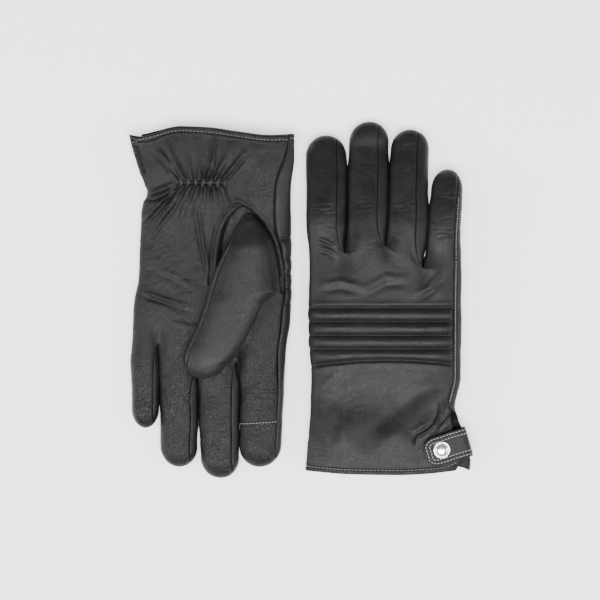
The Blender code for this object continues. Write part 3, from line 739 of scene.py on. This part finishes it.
BACK = leather("smooth_black_leather", (0.0112, 0.0107, 0.0100), 0.37, 1150, 0.00006, 0.00008, 0.2)
PALM = leather("grained_black_leather", (0.0120, 0.0114, 0.0107), 0.34, 950, 0.00011, 0.00008, 0.18)
SIDE = leather("side_black_leather", (0.0100, 0.0095, 0.0090), 0.40, 1150, 0.00006, 0.00006, 0.2)
EDGE = leather("strap_black_leather", (0.0110, 0.0105, 0.0098), 0.36, 1150, 0.00006, 0.00005, 0.19)
LINING = cloth("black_knit_lining", (0.010, 0.010, 0.010), 900, 0.0001)
ELASTIC = cloth("elastic_tape", (0.02, 0.02, 0.02), 1400, 0.0001)
WADDING = cloth("wadding", (0.12, 0.12, 0.12), 500, 0.0002)
THREAD = cloth("black_thread", (0.020, 0.019, 0.018), 3000, 0.00003, 0.1)
HEM_THREAD = cloth("dark_grey_thread", (0.16, 0.155, 0.145), 3000, 0.00003, 0.1)
LIGHT_THREAD = cloth("grey_thread", (0.34, 0.33, 0.31), 3000, 0.00003, 0.1)
NICKEL = metal("polished_nickel", (0.86, 0.86, 0.85), 0.16)


# --- the relief of the leather


def rib_arch(x):
    """How far the line under the lowest rib bows towards the fingers."""
    return 4.6 * (1 - ((x - 3) / 53) ** 2) - 2.4


def quilting(glove, x, y, edge):
    """The padded ribs across the back, between stitched grooves. edge is the distance to the panel's edge."""
    start, pitch = glove.ribs
    at = (y - start - rib_arch(x) * smooth((start + pitch - y) / pitch * 0.8)) / pitch
    swell = np.clip(np.sin(math.pi * (at % 1)), 0, 1) ** 0.6 * 2.5 - 0.8
    beyond = np.where(at < 2, at, at - 4) * pitch
    outside = -0.8 * bell(beyond / 1.3) + 0.4 * bell((np.abs(beyond) - 2.8) / 2.0)
    rise = np.where((at > 0) & (at < 4), swell, outside)
    return rise * (0.3 + 0.7 * smooth(edge / 3.5)) * (0.3 + 0.7 * smooth((x - glove.radial(y)) / 8))


def rib_line(glove, number):
    """y over x along one of the grooves beside the ribs, counted from the cuff."""
    start, pitch = glove.ribs
    return lambda x: start + number * pitch + (rib_arch(x) if number == 0 else 0)


def gather(x, y):
    """The pleats that the elastic draws into the palm: they fan out from it both ways."""
    away = y - ELASTIC_Y
    up = away < 0
    middle = (ELASTIC_FROM + ELASTIC_TO) / 2
    lean = np.where(up, 0.1 * away, 0.22 * away)
    u = (x - middle - lean) / (1 + np.abs(away) / np.where(up, 21, 24))
    number = np.floor(u / PLEAT_PITCH)
    reach = 19 + 12 * np.abs(np.sin(number * 2.3 + np.where(up, 0.4, 1.9)))
    half = (ELASTIC_TO - ELASTIC_FROM) / 2
    within = smooth((half + 1.5 - np.abs(u)) / 4)
    swell = smooth(np.abs(away) / 2.2) * np.clip(1 - np.abs(away) / reach, 0, 1) ** 1.3
    phase = u / PLEAT_PITCH - number
    pleat = bell((phase - 0.42) / 0.19) * 2.7 - bell((phase - 0.88) / 0.15) * 1.7 - 0.3
    pinch = -0.9 * bell(away / 1.5)
    slits = -1.2 * bell((phase - 0.9) / 0.14) * bell(away / 2.4)
    return within * (pleat * swell + pinch + slits)


# The folds of the leather: each one's path, its height and its width.
FOLD_STRENGTH = 1.35
PALM_FOLDS = (
    ([(47.5, 47.5), (38, 46.5), (28, 42.5), (19, 37.8)], 1.25, 2.6),
    ([(48, 70), (41, 62), (31, 51), (20, 42)], 1.0, 1.7),
    ([(46, 82), (38, 72), (29, 60), (16, 45)], 0.7, 1.7),
    ([(6.8, 41), (7.4, 55), (5.6, 70), (3.6, 82), (-1.8, 106)], 1.0, 1.7),
    ([(13, 42), (15.5, 53), (16.5, 66), (13.5, 84)], 0.6, 1.8),
    ([(-1.6, -1), (-4.2, 14), (-3, 26), (0.5, 35)], 0.8, 1.5),
    ([(38, 14), (30, 21), (24, 28), (18.5, 36)], 0.9, 2.0),
    ([(-26, 12), (-20, 22), (-14, 31), (-9, 36.5)], 0.7, 1.8),
    ([(51, 113), (30, 119.5), (6.8, 127)], 0.7, 1.8),
    ([(40, 96), (24, 103), (8, 113)], 0.3, 2.2),
    ([(-24, 136), (-6, 133), (12, 136), (32, 131)], 0.35, 2.2),
)
BACK_FOLDS = (
    ([(21, 16), (23, 25.5), (30.2, 29.6), (35.5, 34.5), (37.6, 41), (38.5, 51)], 1.2, 1.7),
    ([(36.5, 29), (43.8, 37.6), (47.0, 43.5), (47.8, 54)], 1.2, 1.5),
    ([(8, 36), (26, 52), (50, 68)], 0.42, 6.5),
    ([(-24, 4), (-4, 26), (12, 38), (28, 42)], 0.42, 7.5),
    ([(-47, 46), (-40, 57), (-30, 68), (-22, 73)], 0.45, 4.5),
    ([(-40, 8), (-32, 26), (-30, 42)], 0.35, 5.5),
    ([(-48, 128), (-30, 131), (-8, 126)], 0.45, 3.0),
    ([(-20, 122), (2, 134), (22, 133)], 0.45, 3.2),
    ([(20, 120), (33, 128), (44, 142)], 0.5, 2.6),
    ([(-47, 163), (-40, 160), (-33, 156)], 0.6, 1.6),
    ([(-46, 156), (-38, 154), (-32, 149)], 0.4, 1.6),
)
HOLE_SEAM = (
    (-52.2, 113), (-50.6, 99), (-47.2, 81), (-39.4, 65.9), (-30.2, 56.5), (-21.6, 51.9), (-14.6, 55.2),
    (-9.1, 61.5), (-5.6, 70), (-3.6, 79), (-2.5, 88), (-2.2, 98), (-1.6, 107),
)


def hole_relief(glove, x, y):
    """The seam round the thumb hole, and the gusset that sinks beside the thumb inside it."""
    x = x - glove.thumb_shift
    seam = near_path(x, y, HOLE_SEAM)[0]
    left = np.interp(y, [52, 56.5, 65.9, 81, 99, 113], [-22, -30.2, -39.4, -47.2, -50.6, -52])
    right_y = [52, 55.2, 61.5, 70, 79, 88, 98, 107]
    right = np.interp(y, right_y, [-21, -14.6, -9.1, -5.6, -3.6, -2.5, -2.2, -1.6])
    inside = smooth(np.minimum(x - left, right - x) / 1.2) * smooth((y - 52) / 3) * smooth((111 - y) / 6)
    ridge = 1.3 * bell((right - x - 3.0) / 1.5) * smooth((y - 55) / 8)
    recess = -2.5 * smooth((right - x - 5.2) / 1.6)
    welt = 0.55 * bell((seam - 2.3) / 1.2) * (1 - inside)
    return inside * (ridge + recess) + welt - 0.95 * bell(seam / 0.8)


def hem_relief(depth):
    """The cuff's rolled edge and the stitched groove beside it, at that distance from the edge."""
    bead, groove = 0.45 * bell((depth - 1.2) / 0.8), 0.5 * bell((depth - HEM_STITCH) / 0.55)
    return bead - groove + 0.25 * bell((depth - 4.2) / 1.1)


def relief(glove, grid, palm, edge, depth):
    """How far the leather stands proud of its plain shape. edge is the distance to the nearest side seam
    of the hand, depth that to the cuff."""
    x, y = grid[..., 0], grid[..., 1]
    at = np.stack([x, y, 0 * x], -1) + (300 if palm else 0) + (900 if glove.palm_up else 0)
    u, v = at[..., 0], at[..., 1]
    slant = np.stack([u * 0.8 - v * 0.6, u * 0.6 + v * 0.8, at[..., 2]], -1)
    rise = 0.6 * noise(slant, (17, 34, 20)) + 0.3 * noise(at + 50, (9, 12, 9)) + 0.10 * noise(at + 90, 4.5)
    rise = rise * (1.5 if palm else 1)
    wrinkle = np.clip(1 - np.abs(noise(at + 140, (9, 5, 9))) * 5, 0, 1) ** 2
    rise = rise - 0.16 * wrinkle * smooth(noise(at + 200, 26) * 2)
    for path, height, width in PALM_FOLDS if palm else BACK_FOLDS:
        rise = rise + FOLD_STRENGTH * fold(x, y, path, height, width)
    if palm:
        fine = np.stack([(u + v) / 4.2, (v - u) / 1.5, 0 * x], -1)
        ball = smooth((x + 4) / 10) * smooth((52 - x) / 10) * smooth((y - 44) / 16) * smooth((150 - y) / 20)
        creases = np.stack([x / 6.5, y / 1.25, 0 * x], -1)
        rise = rise + 0.24 * noise(fine, 1) * ball + 0.1 * noise(creases, 1) * smooth((y - 150) / 20)
        rise = rise + gather(x, y) + hole_relief(glove, x, y)
    else:
        rise = rise + quilting(glove, x, y, edge)
    return rise + hem_relief(depth)


def knuckles(f, x, y):
    """Short creases across a finger where it bends."""
    total = 0
    across = smooth(1.3 - np.abs(x - f.centre(y)) / f.half_width * 1.2)
    for place in (f.fold - 1, f.fold + 23):
        for step, height in ((-2.6, 0.16), (0, 0.24), (2.9, 0.18)):
            bend = place + step + 0.6 * np.sin(x * 0.5 + step * 3)
            total = total - height * bell((y - bend) / 0.8) * across
    return total


def touch_level(x):
    """y of the touch-screen tip's seam over x."""
    return TOUCH_SEAM + 0.06 * (x + 37)


def touch_seam(x, y):
    """The seam between the index finger's palm and its touch-screen tip, which overlaps it."""
    away = y - touch_level(x)
    return 0.35 * bell((away + 0.8) / 0.9) - 0.55 * bell((away - 0.35) / 0.5)


# --- the pieces of one glove

BACK_COLUMNS, PALM_COLUMNS = (52, 34, 34, 44), (50, 34, 34, 46)
FINE_ROWS_BACK, FINE_ROWS_PALM = (74, 119, 0.5), (22, 58, 0.6)  # over the ribs and over the gathers


def leather_sheets(glove, palm):
    """The relief-shaped grids of the hand's back or palm and of its four fingers, with their normals."""
    at = levels(0, BREAK, 0.85, *(FINE_ROWS_PALM if palm else FINE_ROWS_BACK))
    columns = PALM_COLUMNS if palm else BACK_COLUMNS
    made = [strip_grid(glove, k, palm, columns[k], at) for k in range(4)]
    grids, rows = [grid for grid, _ in made], made[0][1]
    normals = [normals_of(grid) * (-1 if palm else 1) for grid in grids]
    for a, b in zip(normals, normals[1:]):
        shared = a[:rows, -1] + b[:rows, 0]
        shared /= np.linalg.norm(shared, axis=-1, keepdims=True)
        a[:rows, -1] = shared
        b[:rows, 0] = shared
    shaped = []
    for k, (grid, normal) in enumerate(zip(grids, normals)):
        f = glove.fingers[k]
        start, end = edge_distance(grid)
        depth = edge_distance(grid, 0)[0]
        past = np.clip((np.arange(len(grid)) - rows + 1) / 8, 0, 1)[:, None]
        # Where a neighbour touches the finger, the seam down its side rolls in less.
        near, far = 0.35 if k > 0 and not palm else 0.7, 0.35 if k < 3 and palm else 0.7
        dip = seam_dip(start, near) * (1 if k == 0 else smooth(past))
        dip = dip + seam_dip(end, far) * (1 if k == 3 else smooth(past))
        edge = np.minimum(start if k == 0 else 99, end if k == 3 else 99) + 0 * start
        rise = relief(glove, grid, palm, edge, depth) * np.clip(1 - dip / 0.8, 0.1, 1)
        rise = rise + (0.6 if palm else 1) * knuckles(f, grid[..., 0], grid[..., 1])
        if palm and k == 0:
            rise = rise + touch_seam(grid[..., 0], grid[..., 1])
        tip = smooth((grid[..., 1] - f.tip + 12) / 8)
        moved = grid + normal * (rise * (1 - 0.6 * tip) - dip)[..., None]
        shaped.append(glove.lay(moved))
    hand = np.concatenate([shaped[0][:rows]] + [s[:rows, 1:] for s in shaped[1:]], 1)
    hand_normal = np.concatenate([normals[0][:rows]] + [n[:rows, 1:] for n in normals[1:]], 1)
    fingers = [(s[rows - 1 :], n[rows - 1 :]) for s, n in zip(shaped, normals)]
    return hand, hand_normal, fingers


def hem(grid, normal):
    """Turns the cuff's edge of a grid inwards, as a rounded hem."""
    edge, out = grid[0], normal[0]
    along = np.array([0, 1.0, 0])
    middle = grid[:, grid.shape[1] // 2, 1]
    inner = np.searchsorted(middle - middle[0], HEM_DEPTH)
    rows = [grid[row] - normal[row] * 2 * HEM_RADIUS for row in (inner, inner // 2)]
    for turn in np.linspace(math.pi, 0.2, 8):
        rows.append(edge - along * math.sin(turn) * HEM_RADIUS - out * HEM_RADIUS * (1 - math.cos(turn)))
    return np.concatenate([np.array(rows), grid])


def blend_finger(glove, k, obj):
    """Works out where a bend at its finger's fold would start and end, and bakes the piece's place into its
    mesh; the piece is not bent.
    """
    f = glove.fingers[k]
    before, past = FINGER_BEND
    start = Vector(glove.world((f.centre(f.fold), f.fold - before, 0)))
    end = Vector(glove.world((f.centre(f.fold), f.fold + past, 0)))
    glove.name("hand")
    glove.name(f"{FINGERS[k]}_finger")
    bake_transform(obj)


def add_leather(glove):
    """The back and the palm, the fingers' backs and palms, and their stitching."""
    hem_lines, rib_lines, seam_lines = [], [], []
    for palm, part, finish in ((False, "back", BACK), (True, "palm", PALM)):
        hand, normal, fingers = leather_sheets(glove, palm)
        kind = f"{part}_leather"
        sheet(glove, kind, hem(hand, normal), finish, "hand", [f"{part}_panel"], flip=palm)
        cuff = glove.cuffs[palm]
        hem_lines.append(across_grid(hand, normal, lambda x: cuff(x) + HEM_STITCH))
        if palm:
            seam_lines.append(beside_edge(hand, normal, 1.2, slice(70, None)))
        else:
            rib_lines = [across_grid(hand, normal, rib_line(glove, number)) for number in range(5)]
        for k, (grid, own) in enumerate(fingers):
            name = FINGERS[k]
            nodes = [f"{name}_{part}"] + (["touch_tip"] if palm and k == 0 else [])
            obj = sheet(glove, f"{name}_{kind}", grid, finish, None, nodes, flip=palm)
            blend_finger(glove, k, obj)
            if palm and k == 3:
                line = beside_edge(grid, own, 1.2, slice(0, 84))
                obj = stitches(glove, "pinky_seam_stitches", [line], LIGHT_THREAD, None, 1.2, 0.6, 0.2)
                blend_finger(glove, k, obj)
            if palm and k == 0:
                line = across_grid(grid, own, lambda x: touch_level(x) - 0.7, 4)
                obj = stitches(glove, "touch_tip_stitches", [line], LIGHT_THREAD, None, 1.6, 0.6, 0.2)
                blend_finger(glove, k, obj)
    stitches(glove, "hem_stitches", hem_lines, HEM_THREAD, "hand", 2.0, 0.6, 0.26)
    stitches(glove, "rib_stitches", rib_lines, THREAD, "hand", 2.0, 0.8, 0.22)
    stitches(glove, "ulnar_seam_stitches", seam_lines, LIGHT_THREAD, "hand", 1.2, 0.6, 0.2)


def add_fourchettes(glove):
    """The side panels between the fingers."""
    for k, name in enumerate(FINGERS):
        for far in (False, True):
            if k == (3 if far else 0):
                continue
            grid = side_grid(glove, k, far, 16)
            normal = normals_of(grid) * (-1 if far else 1)
            start, end = edge_distance(grid)
            dip = seam_dip(start, 0.3, 1.3) + seam_dip(end, 0.45, 1.3)
            grid = glove.lay(grid + normal * (0.25 * noise(grid + 40, 9) - dip)[..., None])
            nodes = [f"{name}_{'far' if far else 'near'}_side"]
            if far:
                nodes.append(f"{name}_{FINGERS[k + 1]}_fourchette")
            obj = sheet(glove, nodes[0] + "_leather", grid, SIDE, None, nodes, flip=far)
            blend_finger(glove, k, obj)


def add_inside(glove):
    """The lining, the wadding under the ribs and the elastic at the wrist."""
    around = np.linspace(0, 2 * math.pi, 120, endpoint=False)
    grid = np.array([glove.hand(y + 0 * around, around, LINING_INSET) for y in np.linspace(8, 134, 64)])
    grid = grid + normals_of(grid, True) * (0.3 * noise(grid, 7))[..., None]
    sheet(glove, "knit_lining", grid, LINING, "hand", ["hand_lining"], 0.5, ring=True)
    gathered = [-glove.hand_angle(x, 37) for x in (ELASTIC_TO, ELASTIC_FROM)]
    for name, finish, slot, length, (first, last), node in (
        ("rib_wadding", WADDING, "wadding", (78.5, 114), (math.pi - 0.4, 0.8), "rib_padding"),
        ("elastic_tape", ELASTIC, "elastic", (34.5, 40.3), gathered, "wrist_elastic"),
    ):
        turned = np.linspace(first, last, 60)
        grid = np.array([glove.hand(y + 0 * turned, turned, PADDING_INSET) for y in np.linspace(*length, 24)])
        grid[..., 2] += 0.12 * np.sin(grid[..., 0] * 2.4)
        sheet(glove, name, grid, finish, "hand", [node], 0.7, flip=finish is ELASTIC)


# --- the thumb

THUMB_LEFT = profile(
    (58, -30.5), (66.4, -39.2), (81, -46.8), (98, -50.0), (108, -51.0), (112.5, -50.4), (116, -46.5),
    (121, -39.6), (129.4, -35.4), (137, -31.6), (147, -26.2), (156.7, -19.9), (164.4, -14.4),
)
THUMB_RIGHT = profile(
    (58, -27.8), (67, -21.2), (79, -14.9), (90, -9.3), (107, -2.3),
    (123, 1.9), (135, 6.1), (147.6, 11.7), (156, 15.2), (162.3, 16.2),
)


def thumb_points(glove, y, angle):
    """Points of the thumb's surface. Angles from -pi, at its free side, to 0 face away from the palm. Near
    its sewn base the free side comes down to the palm."""
    tip = np.clip((y - THUMB_TO + THUMB_ROUND) / THUMB_ROUND, 0, 1)
    base = np.clip((THUMB_FROM + 6 - y) / 6, 0, 1)
    round_off = np.sqrt(np.maximum(1 - tip**TIP_POWER, 0))
    left, right = THUMB_LEFT(y), THUMB_RIGHT(y)
    centre, half_width = (left + right) / 2 + tip**2 * 1.6, (right - left) / 2
    sewn = (1 - smooth((y - 104) / 20)) * smooth(np.abs(angle) / math.pi)
    half_thick = glove.thumb_height / 2 * (0.55 + 0.45 * smooth((y - THUMB_FROM) / 24))
    half_height = half_thick * round_off
    across = np.cos(angle)
    x = centre + half_width * round_off * np.sign(across) * np.abs(across) ** (2 / 2.8)
    middle = glove.palm_level(y) - 0.6 - half_thick + sewn * (half_height + 0.9)
    reach = half_height * (1 + sewn * 1.1) * (1 - base**2 * 0.6)
    up = np.sin(angle)
    z = middle + reach * np.sign(up) * np.abs(up) ** (1 + sewn)
    return np.stack([x + glove.thumb_shift, y + 0 * x, z], -1)


def thumb_seam(y):
    """The angle of the seam along the side of the thumb towards the little finger."""
    wrap = smooth((THUMB_TO - 3 - y) / 12)
    return -THUMB_SEAM * wrap * (0.35 + 0.65 * smooth((y - THUMB_FROM) / 16)) - THUMB_GAP


def add_thumb(glove):
    straight = levels(THUMB_FROM, THUMB_TO - THUMB_ROUND, 0.8, 108, 130, 0.6)
    tip = np.sin(np.linspace(0, 1, 30)[1:] * math.pi / 2) ** 0.9 * 0.9995
    y = np.concatenate([straight, THUMB_TO - THUMB_ROUND + THUMB_ROUND * tip])[:, None]
    seam = thumb_seam(y)
    low, high = -math.pi + THUMB_GAP, math.pi - THUMB_GAP
    outer = thumb_points(glove, y, low + (seam - low) * cluster(72))
    inner = thumb_points(glove, y, seam + 2 * THUMB_GAP + (high - seam - 2 * THUMB_GAP) * cluster(60))
    pieces, lines = [], []
    for grid, name, slot, nodes in (
        (outer, "thumb_leather", "palm_leather", ["thumb_base", "thumb_outer"]),
        (inner, "thumb_inner_leather", "back_leather", ["thumb_inner"]),
    ):
        normal = -normals_of(grid)
        start, end = edge_distance(grid)
        at = grid + 500
        rise = 0.34 * noise(at, 22) + 0.2 * noise(at + 50, (9, 13, 9)) + 0.06 * noise(at + 90, 4)
        dip = seam_dip(start) + seam_dip(end)
        grid = glove.lay(grid + normal * (rise * 0.8 - dip)[..., None])
        pieces.append(sheet(glove, name, grid, BACK, None, nodes, flip=True))
        lines.append(beside_edge(grid, normal, 0.9, slice(4, -20)))
    pieces.append(stitches(glove, "thumb_seam_stitches", lines[:1], THREAD, None, 1.3, 0.7, 0.16))
    before, past = THUMB_BEND
    start = Vector(glove.world((0, THUMB_FOLD - before, 0)))
    end = Vector(glove.world((0, THUMB_FOLD + past, 0)))
    for obj in pieces:
        glove.name("hand")
        glove.name("thumb")
        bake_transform(obj)


# --- the strap and its snap


def strap_frame(glove):
    """Turns points laid out along the strap, from the snap's centre, into the glove's frame."""
    c, s = math.cos(STRAP_TURN), math.sin(STRAP_TURN)

    def place(points):
        x, y = points[..., 0], points[..., 1]
        y = y + 0.5 * smooth(x / 10)
        return np.stack([glove.snap_x + c * x - s * y, SNAP_Y + s * x + c * y, points[..., 2]], -1)

    return place


def strap_path(glove, depth):
    """(x, z) along the strap's upper side, at a depth under it: a flat, a quarter turn, a drop down to the
    hinge and the root below it. Also the height of the flat."""
    top = glove.snap_level() + STRAP_RISE
    radius = STRAP_CURL - depth
    path = [(x, top - depth) for x in np.linspace(-STRAP_TIP, STRAP_FLAT, 56)]
    for turn in np.linspace(0, math.pi / 2, 14)[1:]:
        path.append((STRAP_FLAT + radius * math.sin(turn), top - STRAP_CURL + radius * math.cos(turn)))
    for drop in np.linspace(0, STRAP_DROP, 6)[1:]:
        path.append((STRAP_FLAT + radius, top - STRAP_CURL - drop))
    for root in np.linspace(0, STRAP_ROOT, 14)[1:]:
        path.append((STRAP_FLAT + radius - 0.1 * root, top - STRAP_CURL - STRAP_DROP - root))
    return np.array(path), top


def strap_grid(glove, depth, bulge):
    """The upper side of one layer of the strap, and the distance of its points from the strap's edge."""
    path, _ = strap_path(glove, depth)
    x = path[:, 0]
    inset = np.clip((x + STRAP_TIP) / 9.5, 0, 1)
    half = STRAP_HALF_WIDTH * np.sqrt(np.maximum(1 - (1 - inset) ** 2.4, 0.0004))
    share = cluster(40, 1.4) * 2 - 1
    grid = np.stack([x[:, None] + 0 * share, half[:, None] * share, path[:, 1][:, None] + 0 * share], -1)
    edge = np.minimum(half[:, None] * (1 - np.abs(share)), (x + STRAP_TIP)[:, None] * 0.9 + 0.05)
    normal = normals_of(grid)
    grooves = 0.3 * sum(bell((edge - at) / 0.5) for at in STRAP_STITCHES)
    rise = (bulge * (1 - np.clip(1 - edge / 1.2, 0, 1) ** 2.2) - grooves) * (bulge > 0)
    return grid + np.where(normal[..., 2:] < 0, -1, 1) * normal * rise[..., None], edge


def add_turned(glove, name, steps, base, body, replaced=()):
    """A turned piece of the snap, from (radius, height) steps over base that start and end on its axis."""
    segments = 64
    around = np.linspace(0, 2 * math.pi, segments, endpoint=False)
    radius, height = np.array(steps, float).T
    radius = np.maximum(radius, 0.01)
    high = np.repeat(height[:, None], segments, 1) + base
    rings = np.stack([np.outer(radius, np.cos(around)), np.outer(radius, np.sin(around)), high], -1)
    points = strap_frame(glove)(rings).reshape(-1, 3)
    faces, _ = grid_faces(np.arange(len(points)).reshape(len(steps), segments), True)
    add(glove, name, points, faces, NICKEL, body, replaced)


def strap_stitch_line(upper, edge, inset):
    """A line that runs that far inside the strap's edge: down one side, round the tip and back."""
    middle = upper.shape[1] // 2
    one_side, other_side = [], []
    for row, far in zip(upper, edge):
        if far.max() > inset:
            one_side.append(read_off(inset, far[:middle], row[:middle]))
            other_side.append(read_off(inset, far[: middle - 1 : -1], row[: middle - 1 : -1]))
    return np.array(one_side[::-1] + other_side)


def add_strap(glove):
    place, level = strap_frame(glove), glove.snap_level()
    _, top = strap_path(glove, 0)
    upper, edge = strap_grid(glove, 0.35, 0.3)
    lower, _ = strap_grid(glove, 1.75, 0.0)
    pieces = []
    for name, grid, finish, slot, node, thickness in (
        ("strap_upper", upper, EDGE, "back_leather", "strap_leather", 1.1),
        ("strap_lower", lower, PALM, "palm_leather", "strap_backing", 0.9),
    ):
        pieces.append(sheet(glove, name, place(grid), finish, None, [node], thickness, flip=True))
    lines = []
    for inset in STRAP_STITCHES:
        loop = place(strap_stitch_line(upper, edge, inset))
        lines.append((loop, np.tile([0.0, 0.0, 1.0], (len(loop), 1))))
    pieces.append(stitches(glove, "strap_stitches", lines, LIGHT_THREAD, None, 1.8, 0.5, 0.3))
    hinge = place(np.array([STRAP_FLAT + STRAP_CURL, 0, top - STRAP_CURL - STRAP_DROP]))
    before, past = STRAP_BEND
    start, end = Vector(glove.world(hinge - [0, 0, before])), Vector(glove.world(hinge + [0, 0, past]))
    for obj in pieces:
        glove.name("hand")
        glove.name("strap")
        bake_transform(obj)
    cap = (
        (0, 0), (5.2, 0), (5.65, 0.2), (5.8, 0.55), (5.7, 0.9), (5.4, 1.05), (5.15, 0.85), (5.0, 0.35),
        (4.75, 0.3), (4.5, 0.9), (4.2, 1.4), (3.6, 1.75), (2.6, 2.05), (1.4, 2.2), (0, 2.25),
    )
    add_turned(glove, "snap_cap_metal", cap, top - 0.1, "strap", ["snap_cap"])
    under = top - 2.7 - level
    socket = ((0, under - 1.1), (4.2, under - 1.1), (4.6, under - 0.8), (4.6, under), (0, under))
    add_turned(glove, "snap_socket_metal", socket, level, "strap")
    stud = ((0, -0.3), (3.6, -0.3), (3.8, 0.1), (3.4, 0.45), (1.9, 0.6), (1.8, 1.1), (0, 1.2))
    add_turned(glove, "snap_stud_metal", stud, level - 0.7, "hand", ["snap_stud"])


# --- the studio

PICTURE_WIDTH = 0.42  # metres across the picture, at the height of the gloves' middle
RIGHT_MIDDLE = 0.0579  # metres from the middle of the picture to the right glove's own middle


def area_light(name, place, size, power):
    """A softbox that faces the gloves."""
    light = bpy.data.lights.new(name, "AREA")
    light.shape, light.size, light.size_y, light.energy = "RECTANGLE", size[0], size[1], power
    obj = bpy.data.objects.new(name, light)
    obj.location = place
    obj.rotation_euler = (-Vector(place)).to_track_quat("-Z", "Y").to_euler()
    bpy.context.scene.collection.objects.link(obj)


def build_studio():
    camera = bpy.data.cameras.new("camera")
    camera.lens, camera.sensor_width, camera.clip_end = 140, 36, 20
    obj = bpy.data.objects.new("camera", camera)
    away = PICTURE_WIDTH * camera.lens / camera.sensor_width
    obj.location = (RIGHT.place[0] * MM - RIGHT_MIDDLE, -0.0002, 0.010 + away)
    bpy.context.scene.collection.objects.link(obj)
    bpy.context.scene.camera = obj
    bpy.ops.mesh.primitive_plane_add(size=6, location=(0, 0, -0.0003))
    floor = bpy.context.object
    floor.name = "floor"
    made = Nodes("white_floor", (0.94, 0.94, 0.94), 0.9)
    made.shader.inputs["Emission Color"].default_value = (1, 1, 1, 1)
    made.shader.inputs["Emission Strength"].default_value = 1.0
    floor.data.materials.append(made.material)
    area_light("overhead", (0.0, -0.55, 1.9), (1.3, 0.8), 64)
    area_light("left", (-1.5, -0.3, 1.0), (0.7, 1.0), 26)
    area_light("right", (1.5, -0.2, 1.0), (0.7, 1.0), 18)
    world = bpy.data.worlds.new("studio")
    world.use_nodes = True
    background = world.node_tree.nodes["Background"]
    background.inputs["Color"].default_value = (1, 1, 1, 1)
    background.inputs["Strength"].default_value = 0.42
    bpy.context.scene.world = world


build_studio()
for glove in (RIGHT, LEFT):
    add_leather(glove)
    add_fourchettes(glove)
    add_inside(glove)
    add_thumb(glove)
    add_strap(glove)
